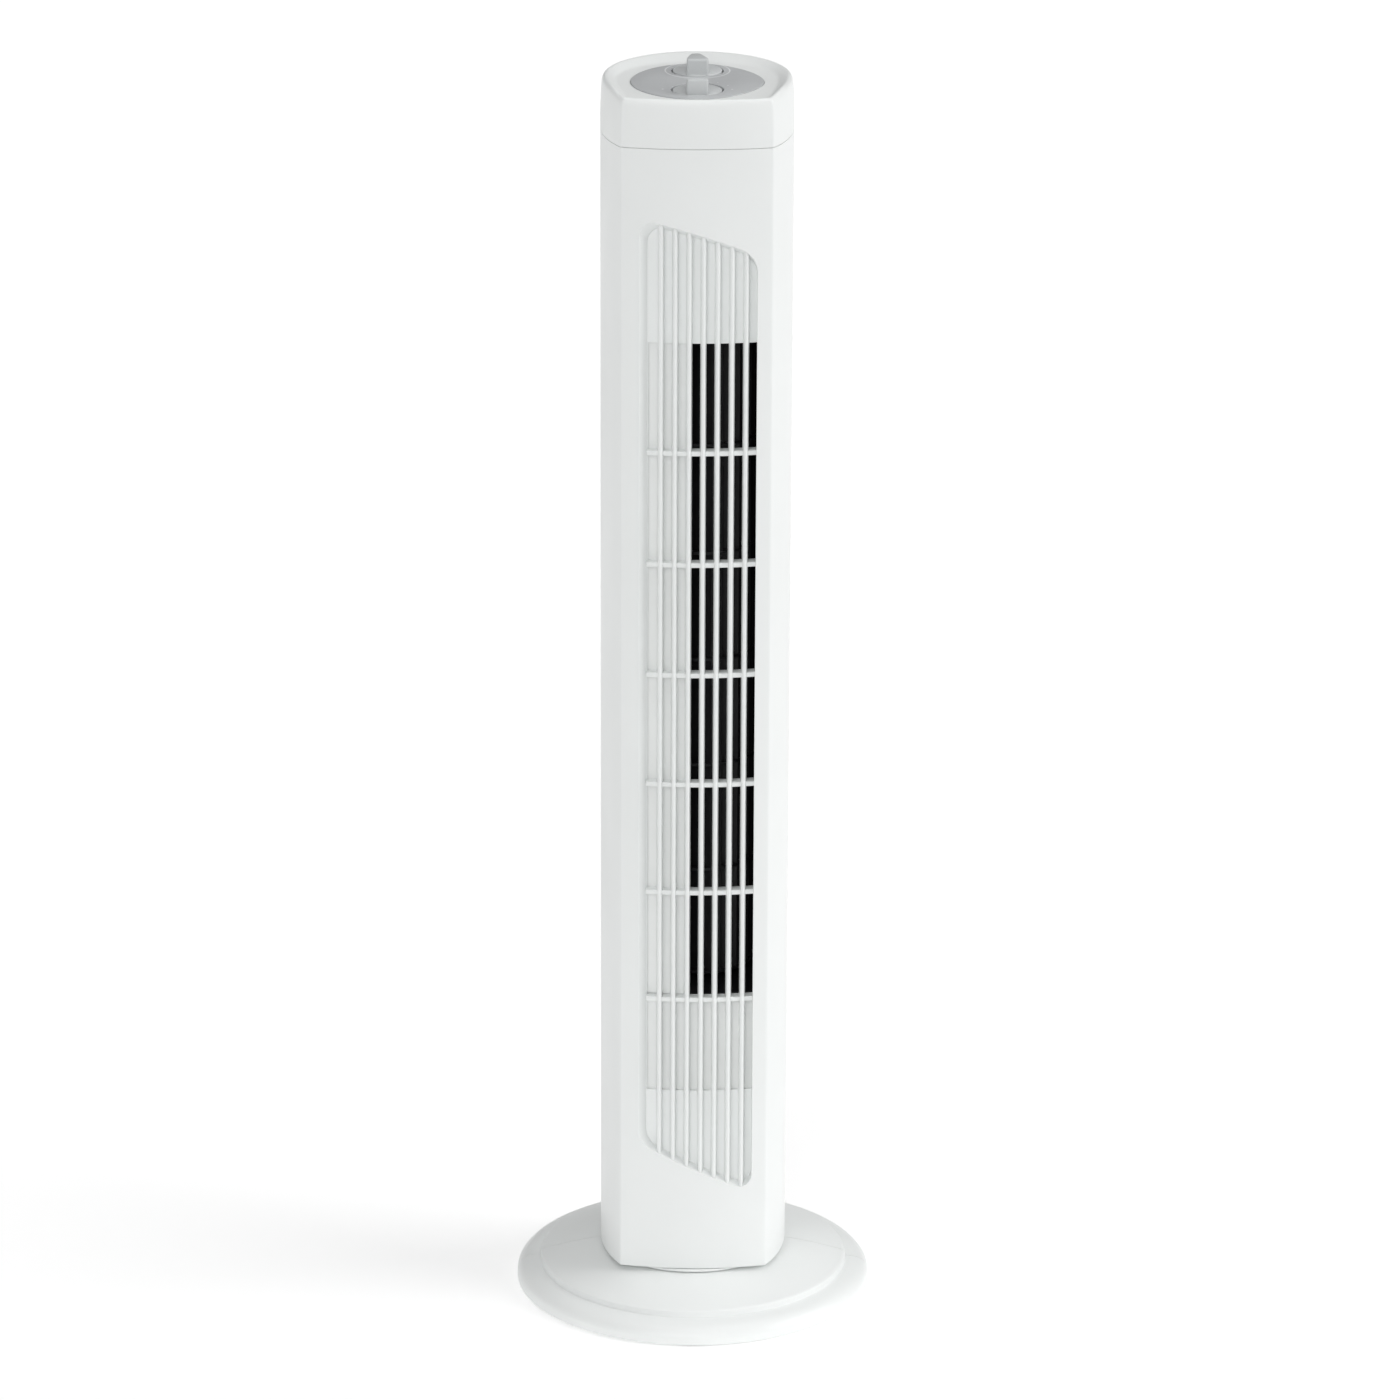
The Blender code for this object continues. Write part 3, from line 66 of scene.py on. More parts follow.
# --- Sizes: from the imported frame where it gives them, and finer ones given here ----

GAP = 0.3 * MM  # between pieces that touch
WALL = 2.4 * MM  # of the shells, cap and base
EDGE = 0.35 * MM  # small radius on the shells' open edges

# Column: two half ellipses in plan, with a bowed front.
SHELL_LOW, SHELL_HIGH = box_of("front_shell")
CAP_LOW, CAP_HIGH = box_of("top_cap")
HALF_WIDTH, REAR, RIM = CAP_HIGH
FRONT = -CAP_LOW[1]
FRONT_SEMI = 79.3 * MM  # half depth of the ellipse that the flanks follow in front of the middle
BOW = 187.0 * MM  # radius of the bowed front
CORNER = 2.0 * MM  # radius between the bowed front and the flanks
BOTTOM = SHELL_LOW[2]
SEAM_Y, SEAM_Z = SHELL_HIGH[1:]

# Outlet recess: its edges, the height of its lower and upper edges on the middle line, and their slopes.
LEFT, RIGHT = -34.0 * MM, 36.0 * MM
RECESS_LOW, RECESS_HIGH = (95.8 * MM, -0.47), (689.6 * MM, -0.312)
RECESS_RADII = (13 * MM, 7 * MM, 14 * MM, 8 * MM)  # lower left, lower right, upper right, upper left
FRONT_WALL = 6.0 * MM  # depth of the recess, down to the grille plate
BEVEL = 5.4 * MM  # how far its left wall slopes in over that depth

# Grille.
GRILLE_LOW, GRILLE_HIGH = box_of("front_grille")
PLATE_SKIN = 1.5 * MM
WINDOW = (145.2 * MM, 623.2 * MM)
FINS, FIN_PITCH, FIN_MIDDLE = 7, 8.433 * MM, 4.2 * MM
FIN_NOSE, FIN_ROOT, FIN_TAPER = 1.25 * MM, 1.85 * MM, 3.4 * MM  # half widths, and the length of the taper
BARS, BAR_LOW, BAR_PITCH = 6, 204.8 * MM, 69.9 * MM

# Inlet slots in the rear shell.
SLOT_COLUMNS, SLOT_PITCH, SLOT_HALF = 11, 7.4 * MM, 1.8 * MM
SLOT_ROWS, SLOT_STEP, SLOT_HEIGHT, SLOT_TOP = 6, 69.8 * MM, 63.8 * MM, 624.5 * MM

# Air path.
WHEEL = middle("blower_wheel")[:2]
LINING = FRONT_WALL + 0.05 * MM + PLATE_SKIN  # where the parts behind the grille plate begin
COVER_LOW, MOTOR_DECK = box_of("motor_cover")[0][2], box_of("motor_cover")[1][2]
MOTOR_DECK_SKIN = 2.0 * MM
AIR_TOP = box_of("air_guide")[1][2]

# Controls.
CONTROL_LOW, CONTROL_HIGH = box_of("control_plate")
DECK = CONTROL_LOW[2] + 1.0 * MM  # the cap's top face, in which the plate is sunk
KNOB_R = box_of("speed_knob")[1][0]
KNOB_HOLE = KNOB_R + 0.9 * MM
# Place along Y, height of the disc's face over the plate, and fall of the grip towards its tail.
KNOBS = {
    "speed": (middle("speed_knob")[1], -0.2 * MM, 5.0 * MM),
    "timer": (middle("timer_knob")[1], 0.6 * MM, 1.0 * MM),
}

# Base and fasteners.
FEET = [middle(f"foot_{i + 1}")[:2] for i in range(6)]
BASE_SCREWS = [middle(f"base_screw_{i + 1}")[:2] for i in range(4)]
SHELL_SCREWS = [middle(f"shell_screw_{i + 1}")[::2] for i in range(4)]
SCREW_HEAD, THREAD = 2.2 * MM, 0.8 * MM  # a screw's head height and thread pitch
GLAND_Z = middle("cord_gland")[2]


# --- Materials ----------------------------------------------------------------------


class Nodes:
    """A material's node tree, with short ways to add and join nodes."""

    def __init__(self, name):
        self.material = bpy.data.materials.new(name)
        self.material.use_nodes = True
        self.tree = self.material.node_tree
        self.shader = self.tree.nodes["Principled BSDF"]
        self.place = self.add("ShaderNodeTexCoord").outputs["Object"]

    def add(self, kind, **settings):
        node = self.tree.nodes.new(kind)
        for key, value in settings.items():
            setattr(node, key, value)
        return node

    def join(self, output, socket):
        self.tree.links.new(output, socket)

    def stretched(self, scale):
        node = self.add("ShaderNodeMapping")
        node.inputs["Scale"].default_value = scale
        self.join(self.place, node.inputs["Vector"])
        return node.outputs["Vector"]

    def noise(self, scale, detail=2.0, rough=0.5, vector=None):
        node = self.add("ShaderNodeTexNoise")
        node.inputs["Scale"].default_value = scale
        node.inputs["Detail"].default_value = detail
        node.inputs["Roughness"].default_value = rough
        self.join(vector or self.place, node.inputs["Vector"])
        return node.outputs["Fac"]

    def spread(self, value, low, high, from_low=0.0, from_high=1.0):
        node = self.add("ShaderNodeMapRange")
        node.inputs["From Min"].default_value = from_low
        node.inputs["From Max"].default_value = from_high
        node.inputs["To Min"].default_value = low
        node.inputs["To Max"].default_value = high
        self.join(value, node.inputs["Value"])
        return node.outputs["Result"]

    def maths(self, operation, first, second=None, clamp=False):
        node = self.add("ShaderNodeMath", operation=operation, use_clamp=clamp)
        for socket, value in zip(node.inputs, (first, second)):
            if isinstance(value, (int, float)):
                socket.default_value = value
            elif value is not None:
                self.join(value, socket)
        return node.outputs["Value"]

    def mix(self, share, first, second):
        node = self.add("ShaderNodeMix", data_type="RGBA")
        # On a colour mix, sockets 6 and 7 are its two colours and output 2 is the mixed one.
        for index, value in ((0, share), (6, first), (7, second)):
            if isinstance(value, tuple):
                node.inputs[index].default_value = (*value, 1)
            elif isinstance(value, (int, float)):
                node.inputs[index].default_value = value
            else:
                self.join(value, node.inputs[index])
        return node.outputs[2]

    def bump(self, height, strength, distance, normal=None):
        node = self.add("ShaderNodeBump")
        node.inputs["Strength"].default_value = strength
        node.inputs["Distance"].default_value = distance
        self.join(height, node.inputs["Height"])
        if normal:
            self.join(normal, node.inputs["Normal"])
        return node.outputs["Normal"]

    def soft_edge(self, radius):
        node = self.add("ShaderNodeBevel", samples=4)
        node.inputs["Radius"].default_value = radius
        return node.outputs["Normal"]

    def edge_mask(self, soft):
        """1 on an edge, 0 on a flat: how far the rounded normal leans from the real one."""
        geometry = self.add("ShaderNodeNewGeometry")
        dot = self.add("ShaderNodeVectorMath", operation="DOT_PRODUCT")
        self.join(soft, dot.inputs[0])
        self.join(geometry.outputs["Normal"], dot.inputs[1])
        return self.spread(dot.outputs["Value"], 1.0, 0.0, 0.7, 1.0)

    def finish(self, colour, roughness, normal):
        self.join(colour, self.shader.inputs["Base Color"])
        self.join(roughness, self.shader.inputs["Roughness"])
        self.join(normal, self.shader.inputs["Normal"])


def plastic(name, colour, rough, grain, edge=0.45, tone=0.03, specular=0.5, worn=0.25, marks=None):
    """Moulded plastic: a spark-eroded grain, faint flow waves, uneven tone, and edges rubbed paler."""
    n = Nodes(name)
    soft = n.soft_edge(edge * MM)
    edges = n.edge_mask(soft)
    cloud = n.noise(9.0, 4.0, 0.55)
    speck = n.noise(620.0, 3.0, 0.6)
    dark = tuple(c * (1 - 2 * tone) for c in colour)
    pale = tuple(min(1.0, c * (1 + tone)) for c in colour)
    toned = n.mix(n.spread(cloud, 0.0, 1.0, 0.3, 0.7), dark, pale)
    toned = n.mix(n.spread(speck, 0.0, 0.35, 0.55, 0.75), toned, dark)
    worn_colour = tuple(min(1.0, c + worn * (0.9 - c) * 0.5) for c in colour)
    toned = n.mix(n.maths("MULTIPLY", edges, 0.6, True), toned, worn_colour)
    if marks:
        toned = n.mix(marks(n), toned, (0.82, 0.83, 0.84))
    smear = n.noise(38.0, 3.0, 0.6, n.stretched((1.0, 1.0, 0.25)))
    roughness = n.spread(smear, rough - 0.06, rough + 0.07, 0.3, 0.7)
    fine = n.bump(n.noise(2600.0, 2.0, 0.65), grain, 0.05 * MM, soft)
    waves = n.noise(14.0, 1.0, 0.4, n.stretched((1.0, 1.0, 0.3)))
    n.finish(toned, roughness, n.bump(waves, 0.12, 0.6 * MM, fine))
    n.shader.inputs["Specular IOR Level"].default_value = specular
    return n.material


def rubbery(name, colour):
    """Matt rubber with pores and a little dust."""
    n = Nodes(name)
    soft = n.soft_edge(0.5 * MM)
    dust = n.spread(n.noise(160.0, 4.0, 0.7), 0.0, 0.5, 0.5, 0.8)
    toned = n.mix(dust, colour, tuple(c + 0.05 for c in colour))
    pores = n.noise(1900.0, 3.0, 0.7)
    n.finish(toned, n.spread(pores, 0.7, 0.95), n.bump(pores, 0.5, 0.08 * MM, soft))
    n.shader.inputs["Sheen Weight"].default_value = 0.12
    return n.material


def metal(name, colour, rough, stretch, scale=900.0, spangle=0.0):
    """Drawn, rolled or plated metal: fine lines along one direction, and patches in the plating."""
    n = Nodes(name)
    soft = n.soft_edge(0.25 * MM)
    lines = n.noise(scale, 4.0, 0.7, n.stretched(stretch))
    toned = n.mix(lines, tuple(c * 0.78 for c in colour), colour)
    if spangle:
        cells = n.add("ShaderNodeTexVoronoi")
        cells.inputs["Scale"].default_value = 420.0
        n.join(n.place, cells.inputs["Vector"])
        share = n.spread(cells.outputs["Distance"], 0.0, spangle, 0.1, 0.6)
        toned = n.mix(share, toned, tuple(min(1.0, c * 1.15) for c in colour))
    stain = n.spread(n.noise(70.0, 3.0, 0.6), 0.0, 0.35, 0.5, 0.8)
    toned = n.mix(stain, toned, tuple(c * 0.7 for c in colour))
    n.finish(toned, n.spread(lines, rough - 0.1, rough + 0.15), n.bump(lines, 0.25, 0.03 * MM, soft))
    n.shader.inputs["Metallic"].default_value = 1.0
    return n.material


def layered(name, colour, pitch, rough, metallic, distortion):
    """Stacked sheets or wound wire: fine bands, one above the other."""
    n = Nodes(name)
    bands = n.add("ShaderNodeTexWave", wave_type="BANDS", bands_direction="Z")
    bands.inputs["Scale"].default_value = 0.314 / pitch  # a band of this texture is 0.314 / scale wide
    bands.inputs["Distortion"].default_value = distortion
    bands.inputs["Detail"].default_value = 1.0
    n.join(n.place, bands.inputs["Vector"])
    band = bands.outputs["Fac"]
    toned = n.mix(band, tuple(c * 0.45 for c in colour), colour)
    varnish = n.spread(n.noise(90.0, 3.0, 0.6), 0.0, 0.4, 0.5, 0.8)
    toned = n.mix(varnish, toned, tuple(c * 0.6 for c in colour))
    n.finish(toned, n.spread(band, rough + 0.12, rough), n.bump(band, 0.7, 0.12 * MM, n.soft_edge(0.3 * MM)))
    n.shader.inputs["Metallic"].default_value = metallic
    return n.material


def printed_marks(n):
    """Pale print on the control plate: a thin ring round the rear knob, graded dots round the front one."""
    ring_radius, ring_half, dots_radius = 19.2 * MM, 0.45 * MM, 20.4 * MM
    split = n.add("ShaderNodeSeparateXYZ")
    n.join(n.place, split.inputs[0])
    x, y = split.outputs["X"], split.outputs["Y"]

    def reach(px, py):
        dx, dy = n.maths("SUBTRACT", x, px), n.maths("SUBTRACT", y, py)
        return n.maths("SQRT", n.maths("ADD", n.maths("MULTIPLY", dx, dx), n.maths("MULTIPLY", dy, dy)))

    off_ring = n.maths("ABSOLUTE", n.maths("SUBTRACT", reach(0.0, KNOBS["timer"][0]), ring_radius))
    found = n.maths("LESS_THAN", off_ring, ring_half)
    for i, angle in enumerate((180, 0, 28, 54)):
        turn = math.radians(angle)
        px, py = dots_radius * math.cos(turn), KNOBS["speed"][0] + dots_radius * math.sin(turn)
        near = n.maths("LESS_THAN", reach(px, py), (0.8 - 0.1 * i) * MM)
        found = n.maths("MAXIMUM", found, near)
    return n.maths("MULTIPLY", found, 0.9)


BY_SLOT = {
    "white_shell": plastic("white_shell", (0.90, 0.92, 0.912), 0.36, 0.10, tone=0.012, worn=0.1),
    "inner_white": plastic("inner_white", (0.88, 0.895, 0.885), 0.48, 0.16, tone=0.02, worn=0.1),
    "control_grey": plastic("control_grey", (0.545, 0.56, 0.57), 0.38, 0.25, 0.25, marks=printed_marks),
    "knob_grey": plastic("knob_grey", (0.63, 0.65, 0.655), 0.33, 0.2, 0.4),
    "black_plastic": plastic("black_plastic", (0.018, 0.018, 0.020), 0.48, 0.3, 0.3, 0.1, 0.35, 0.02),
    "switch_plastic": plastic("switch_plastic", (0.055, 0.055, 0.06), 0.5, 0.35, 0.4, 0.1, 0.4, 0.1),
    "rubber": rubbery("rubber", (0.03, 0.03, 0.032)),
    "steel": metal("steel", (0.56, 0.56, 0.57), 0.3, (1.0, 1.0, 0.06)),
    "zinc_steel": metal("zinc_steel", (0.62, 0.62, 0.60), 0.34, (0.3, 1.0, 1.0), 700.0, 0.5),
    "bearing_bronze": metal("bearing_bronze", (0.52, 0.36, 0.16), 0.42, (1.0, 1.0, 1.0), 1500.0, 0.3),
    "lamination_steel": layered("lamination_steel", (0.40, 0.40, 0.41), 0.5 * MM, 0.42, 1.0, 0.4),
    "coil_winding": layered("coil_winding", (0.62, 0.27, 0.11), 0.45 * MM, 0.34, 0.6, 1.5),
}
SLOT_OF = {row["node"]: row["material_slot"] for row in frame["record"]["subparts"]}
BODY_OF = {
    node: body for body, nodes in frame["record"]["behaviour"]["bodies"].items() for node in nodes
}


# --- Mesh building ------------------------------------------------------------------


def mesh_object(name, builder):
    bmesh.ops.recalc_face_normals(builder, faces=builder.faces)
    mesh = bpy.data.meshes.new(name)
    builder.to_mesh(mesh)
    builder.free()
    made = bpy.data.objects.new(name, mesh)
    bpy.context.scene.collection.objects.link(made)
    return made


def carve(target, *steps):
    """Runs exact booleans on the target and removes the shapes used."""
    others = []
    for operation, builder in steps:
        other = mesh_object("tool_shape", builder)
        change = target.modifiers.new("step", "BOOLEAN")
        change.operation, change.object = operation, other
        others.append(other)
    bpy.context.view_layer.update()
    graph = bpy.context.evaluated_depsgraph_get()
    mesh = bpy.data.meshes.new_from_object(target.evaluated_get(graph))
    target.modifiers.clear()
    target.data = mesh
    for other in others:
        bpy.data.objects.remove(other, do_unlink=True)


def unmade(target):
    """The piece's mesh as a builder again. The piece itself is removed."""
    builder = bmesh.new()
    builder.from_mesh(target.data)
    bpy.data.objects.remove(target, do_unlink=True)
    return builder


def add_piece(target, other):
    """Makes another piece's mesh part of the target, and removes that piece."""
    joined = bmesh.new()
    joined.from_mesh(target.data)
    joined.from_mesh(other.data)
    joined.to_mesh(target.data)
    joined.free()
    bpy.data.objects.remove(other, do_unlink=True)


def add_shape(builder, shape):
    """Adds one builder's faces to another, and frees it."""
    mesh = bpy.data.meshes.new("shape")
    shape.to_mesh(mesh)
    shape.free()
    builder.from_mesh(mesh)
    bpy.data.meshes.remove(mesh)


def show(target, node, smooth=32):
    """Puts a finished piece in place of a CAD node: its material, body and slot."""
    mesh = target.data
    mesh.materials.clear()
    mesh.materials.append(BY_SLOT[SLOT_OF[node]])
    mesh.shade_smooth()
    mesh.set_sharp_from_angle(angle=math.radians(smooth))
    target.name = node + "_fine"
    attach(target, BODY_OF[node])
    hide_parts(node)


def loft(rings, builder=None, caps=True, loop=False):
    """Faces between rings of equally many points, closed by two caps or back to the first ring."""
    builder = builder or bmesh.new()
    rows = [[builder.verts.new(point) for point in ring] for ring in rings]
    pairs = list(zip(rows, rows[1:])) + ([(rows[-1], rows[0])] if loop else [])
    for low, high in pairs:
        for i in range(len(low)):
            j = (i + 1) % len(low)
            builder.faces.new((low[i], low[j], high[j], high[i]))
    if caps and not loop:
        builder.faces.new(rows[0][::-1])
        builder.faces.new(rows[-1])
    return builder


def prism(outline, low, high, builder=None):
    return loft([[(x, y, z) for x, y in outline] for z in (low, high)], builder)


def box(low, high, builder=None):
    outline = [(low[0], low[1]), (high[0], low[1]), (high[0], high[1]), (low[0], high[1])]
    return prism(outline, low[2], high[2], builder)


def circle(x, y, radius, steps):
    turn = 2 * math.pi / steps
    return [(x + radius * math.cos(i * turn), y + radius * math.sin(i * turn)) for i in range(steps)]


def stacked(profile, steps, x=0.0, y=0.0, builder=None):
    """Round (radius, height) steps, one above the other."""
    return loft([[(px, py, z) for px, py in circle(x, y, r, steps)] for r, z in profile], builder)


def rod(radius, low, high, steps=48, x=0.0, y=0.0, builder=None):
    return stacked([(radius, low), (radius, high)], steps, x, y, builder)


def turned(profile, steps=128, x=0.0, y=0.0):
    """A closed (radius, height) profile turned about a vertical axis."""
    rings = []
    for i in range(steps):
        turn = 2 * math.pi * i / steps
        rings.append([(x + r * math.cos(turn), y + r * math.sin(turn), z) for r, z in profile])
    return loft(rings, caps=False, loop=True)


def along_y(profile, x, z, steps=40, builder=None, loop=False):
    """(radius, y) steps turned about a line along Y."""
    rings = [[(px, y, pz) for px, pz in circle(x, z, r, steps)] for r, y in profile]
    return loft(rings, builder, caps=not loop, loop=loop)


def rounded(points, radii, steps):
    """A closed outline with its corners rounded by arcs."""
    made = []
    for i, (corner, own) in enumerate(zip(points, radii)):
        if not own:
            made.append(tuple(corner))
            continue
        here = Vector(corner)
        back = (Vector(points[i - 1]) - here).normalized()
        ahead = (Vector(points[(i + 1) % len(points)]) - here).normalized()
        half = math.acos(max(-1, min(1, back.dot(ahead)))) / 2
        reach = own / math.tan(half)
        centre = here + (back + ahead).normalized() * (own / math.sin(half))
        start, end = here + back * reach - centre, here + ahead * reach - centre
        sweep = start.angle_signed(end)
        for k in range(steps + 1):
            made.append(tuple(centre + Matrix.Rotation(-sweep * k / steps, 2) @ start))
    return made


def smoothed(profile, steps, tight):
    """An open profile with each inner corner cut by a short curve."""
    made = [profile[0]]
    for back, here, ahead in zip(profile, profile[1:], profile[2:]):
        start = [h + (b - h) * tight for b, h in zip(back, here)]
        end = [h + (a - h) * tight for a, h in zip(ahead, here)]
        for k in range(steps + 1):
            t = k / steps
            made.append(
                tuple(s * (1 - t) ** 2 + 2 * h * t * (1 - t) + e * t * t for s, h, e in zip(start, here, end))
            )
    return made + [profile[-1]]


# --- Column plan --------------------------------------------------------------------


def front_y(x, inset=0.0):
    """Where the bowed front, or a surface that far behind it, stands at x."""
    radius = BOW - inset
    return BOW - FRONT - math.sqrt(radius * radius - x * x)


def flank(angle, inset=0.0):
    semi = FRONT_SEMI if angle < 0 else REAR
    return (HALF_WIDTH - inset) * math.cos(angle), (semi - inset) * math.sin(angle)


def front_corner(side_inset, front_inset):
    """The flank's angle where it meets the bowed front, found by halving."""
    low, high = -math.pi / 2, 0.0
    for _ in range(50):
        angle = (low + high) / 2
        x, y = flank(angle, side_inset)
        if y < front_y(x, front_inset):
            low = angle
        else:
            high = angle
    return high


def front_line(side_inset, front_inset, seam_y, corner=0.0):
    """The open outline of the front half, from the left end of the seam round the front to the right end."""
    side_steps, front_steps = 20, 36
    last = math.asin(seam_y / (REAR - side_inset))
    first = front_corner(side_inset, front_inset)
    side = [flank(first + (last - first) * i / side_steps, side_inset) for i in range(side_steps + 1)]
    reach = side[0][0]
    across = [reach * (2 * i / front_steps - 1) for i in range(1, front_steps)]
    points = [(-x, y) for x, y in reversed(side)]
    points += [(x, front_y(x, front_inset)) for x in across] + side
    if not corner:
        return points
    corners = (len(side) - 1, len(side) + len(across))
    return rounded(points, [corner if i in corners else 0 for i in range(len(points))], 6)


def rear_line(inset, seam_y, steps=84):
    first = math.asin(seam_y / (REAR - inset))
    return [flank(first + (math.pi - 2 * first) * i / steps, inset) for i in range(steps + 1)]


def body_line(side_inset, front_inset, corner=0.0):
    return front_line(side_inset, front_inset, 0.0, corner) + rear_line(side_inset, 0.0)[1:-1]


def recess_line(inset, drawn):
    """The slanted outline of the outlet recess, where its left wall has sloped in by the drawn amount."""
    left, right = LEFT + inset + drawn, RIGHT - inset
    # Which way along Z is inwards, and how far each wall moves along Z as the left one slopes in by one.
    low, high = (*RECESS_LOW, 1, 0.4), (*RECESS_HIGH, -1, -0.7)
    corners = []
    for x, (level, slope, inwards, lean) in ((left, low), (right, low), (right, high), (left, high)):
        corners.append((x, level + lean * drawn + slope * x + inwards * inset * math.hypot(1, slope)))
    return rounded(corners, [radius - inset for radius in RECESS_RADII], 12)


def recess_block(inset):
    """What the recess takes out of the front shell, made smaller all round by the inset."""
    rings = []
    for y in (-FRONT - 5 * MM, -FRONT + 13 * MM):
        drawn = BEVEL / FRONT_WALL * (y - front_y(LEFT))
        rings.append([(x, y, z) for x, z in recess_line(inset, drawn)])
    return loft(rings)


def bowed_strip(left, right, inset, thickness, steps=30):
    """The outline of a strip that follows the bowed front, the inset behind it."""
    across = [left + (right - left) * i / steps for i in range(steps + 1)]
    near = [(x, front_y(x, inset)) for x in across]
    return near + [(x, front_y(x, inset + thickness)) for x in reversed(across)]


# --- Column shells ------------------------------------------------------------------


def make_front_shell():
    outer = front_line(0.0, 0.0, SEAM_Y, CORNER)
    inner = front_line(WALL, FRONT_WALL, SEAM_Y)
    drawn = front_line(EDGE, EDGE, SEAM_Y, CORNER - 0.3 * MM)
    crisp = front_line(0.1 * MM, 0.1 * MM, SEAM_Y, CORNER - 0.1 * MM)
    rings = []
    for line, z in ((drawn, BOTTOM), (outer, BOTTOM + EDGE), (outer, SEAM_Z - 0.1 * MM), (crisp, SEAM_Z)):
        rings.append([(x, y, z) for x, y in line + inner[::-1]])
    shell = mesh_object("front_shell_shape", loft(rings))
    carve(shell, ("DIFFERENCE", recess_block(0.0)))
    show(shell, "front_shell")


def make_rear_shell():
    """The rear half, with screw wells, a hole for the gland, and the inlet slots."""
    seam = SEAM_Y + GAP
    outer, inner, drawn = rear_line(0.0, seam), rear_line(WALL, seam), rear_line(EDGE, seam)
    rings = []
    for line, z in ((drawn, BOTTOM), (outer, BOTTOM + EDGE), (outer, SEAM_Z - EDGE), (drawn, SEAM_Z)):
        rings.append([(x, y, z) for x, y in line + inner[::-1]])
    shell = mesh_object("rear_shell_shape", loft(rings))
    wells, bores = bmesh.new(), bmesh.new()
    seat, well_end, outside = SEAM_Y + 6 * MM, 36.5 * MM, 70 * MM
    shank_r, head_r, well_r, gland_r = 1.9 * MM, 3.5 * MM, 5.4 * MM, 6.3 * MM
    bore = [(shank_r, SEAM_Y - MM), (shank_r, seat), (head_r, seat), (head_r, outside)]
    for x, z in SHELL_SCREWS:
        along_y([(well_r, seam), (well_r, well_end)], x, z, 32, wells)
        along_y(bore, x, z, 32, bores)
    well_block = mesh_object("wells", wells)
    carve(well_block, ("INTERSECT", prism(body_line(0.3 * MM, MM), 0.0, SEAM_Z)))
    gland = along_y([(gland_r, 50 * MM), (gland_r, outside)], 0.0, GLAND_Z)
    carve(
        shell,
        ("UNION", unmade(well_block)),
        ("DIFFERENCE", bores),
        ("DIFFERENCE", slot_shapes()),
        ("DIFFERENCE", gland),
    )
    show(shell, "rear_shell")


def slot_shapes():
    """Inlet slots with round ends, each square to the shell."""
    builder = bmesh.new()
    for column in range(SLOT_COLUMNS):
        angle = math.pi / 2 + arc_angle((column - SLOT_COLUMNS // 2) * SLOT_PITCH)
        centre = Vector(flank(angle))
        outward = Vector((math.cos(angle) / HALF_WIDTH, math.sin(angle) / REAR)).normalized()
        along = Vector((-outward.y, outward.x))
        for row in range(SLOT_ROWS):
            high = SLOT_TOP - SLOT_STEP * row
            low = high - SLOT_HEIGHT
            outline = []
            for end, first in ((high - SLOT_HALF, 0.0), (low + SLOT_HALF, math.pi)):
                for k in range(9):
                    turn = first + math.pi * k / 8
                    outline.append((SLOT_HALF * math.cos(turn), end + SLOT_HALF * math.sin(turn)))
            rings = []
            for depth in (-7 * MM, 5 * MM):  # from inside the wall to outside it
                ring = []
                for across, z in outline:
                    point = centre + outward * depth + along * across
                    ring.append((point.x, point.y, z))
                rings.append(ring)
            loft(rings, builder)
    return builder


def arc_angle(distance):
    """How far round from straight back a point lies that is a distance along the rear wall."""
    angle, walked, step = 0.0, 0.0, math.radians(0.05)
    while walked < abs(distance):
        walked += step * math.hypot(HALF_WIDTH * math.cos(angle), REAR * math.sin(angle))
        angle += step
    return math.copysign(angle, distance)


def make_grille():
    """Bowed plate round the window, cross bars set back, and fins with round noses."""
    inset = FRONT_WALL + 0.02 * MM
    low, high = GRILLE_LOW[2], GRILLE_HIGH[2]
    left, far_left, far_right = LEFT + BEVEL, GRILLE_LOW[0], GRILLE_HIGH[0]
    plate = bmesh.new()
    prism(bowed_strip(far_left, left, inset, PLATE_SKIN, 8), low, high, plate)
    prism(bowed_strip(RIGHT, far_right, inset, PLATE_SKIN, 4), low, high, plate)
    prism(bowed_strip(left, RIGHT, inset, PLATE_SKIN), low, WINDOW[0], plate)
    prism(bowed_strip(left, RIGHT, inset, PLATE_SKIN), WINDOW[1], high, plate)
    bars = bmesh.new()
    for i in range(BARS):
        rings = []
        # The bar's front edges are drawn back and so rounded, from its lower face to its upper one.
        for drawn, level in ((0.45, 0.0), (0.12, 0.3), (0.0, 0.8), (0.0, 2.2), (0.12, 2.7), (0.45, 3.0)):
            line = bowed_strip(LEFT + 4.6 * MM, RIGHT, (2.6 + drawn) * MM, (6.9 - drawn) * MM)
            rings.append([(x, y, BAR_LOW + BAR_PITCH * i + level * MM) for x, y in line])
        loft(rings, bars)
    fins = bmesh.new()
    for i in range(FINS):
        x = FIN_MIDDLE + FIN_PITCH * (i - FINS // 2)
        nose = front_y(x, 0.5 * MM) + FIN_NOSE
        root = front_y(x, inset + PLATE_SKIN - 0.2 * MM)
        outline = []
        for k in range(15):
            turn = math.pi * k / 14
            outline.append((x - FIN_NOSE * math.cos(turn), nose - FIN_NOSE * math.sin(turn)))
        outline += [(x + FIN_ROOT, nose + FIN_TAPER), (x + FIN_ROOT, root)]
        outline += [(x - FIN_ROOT, root), (x - FIN_ROOT, nose + FIN_TAPER)]
        prism(outline, low, high, fins)
    grille = mesh_object("grille_shape", plate)
    for part in (bars, fins):
        block = mesh_object("grille_part", part)
        carve(block, ("INTERSECT", recess_block(0.04 * MM)))
        add_piece(grille, block)
    show(grille, "front_grille", 40)


# --- Air path -----------------------------------------------------------------------


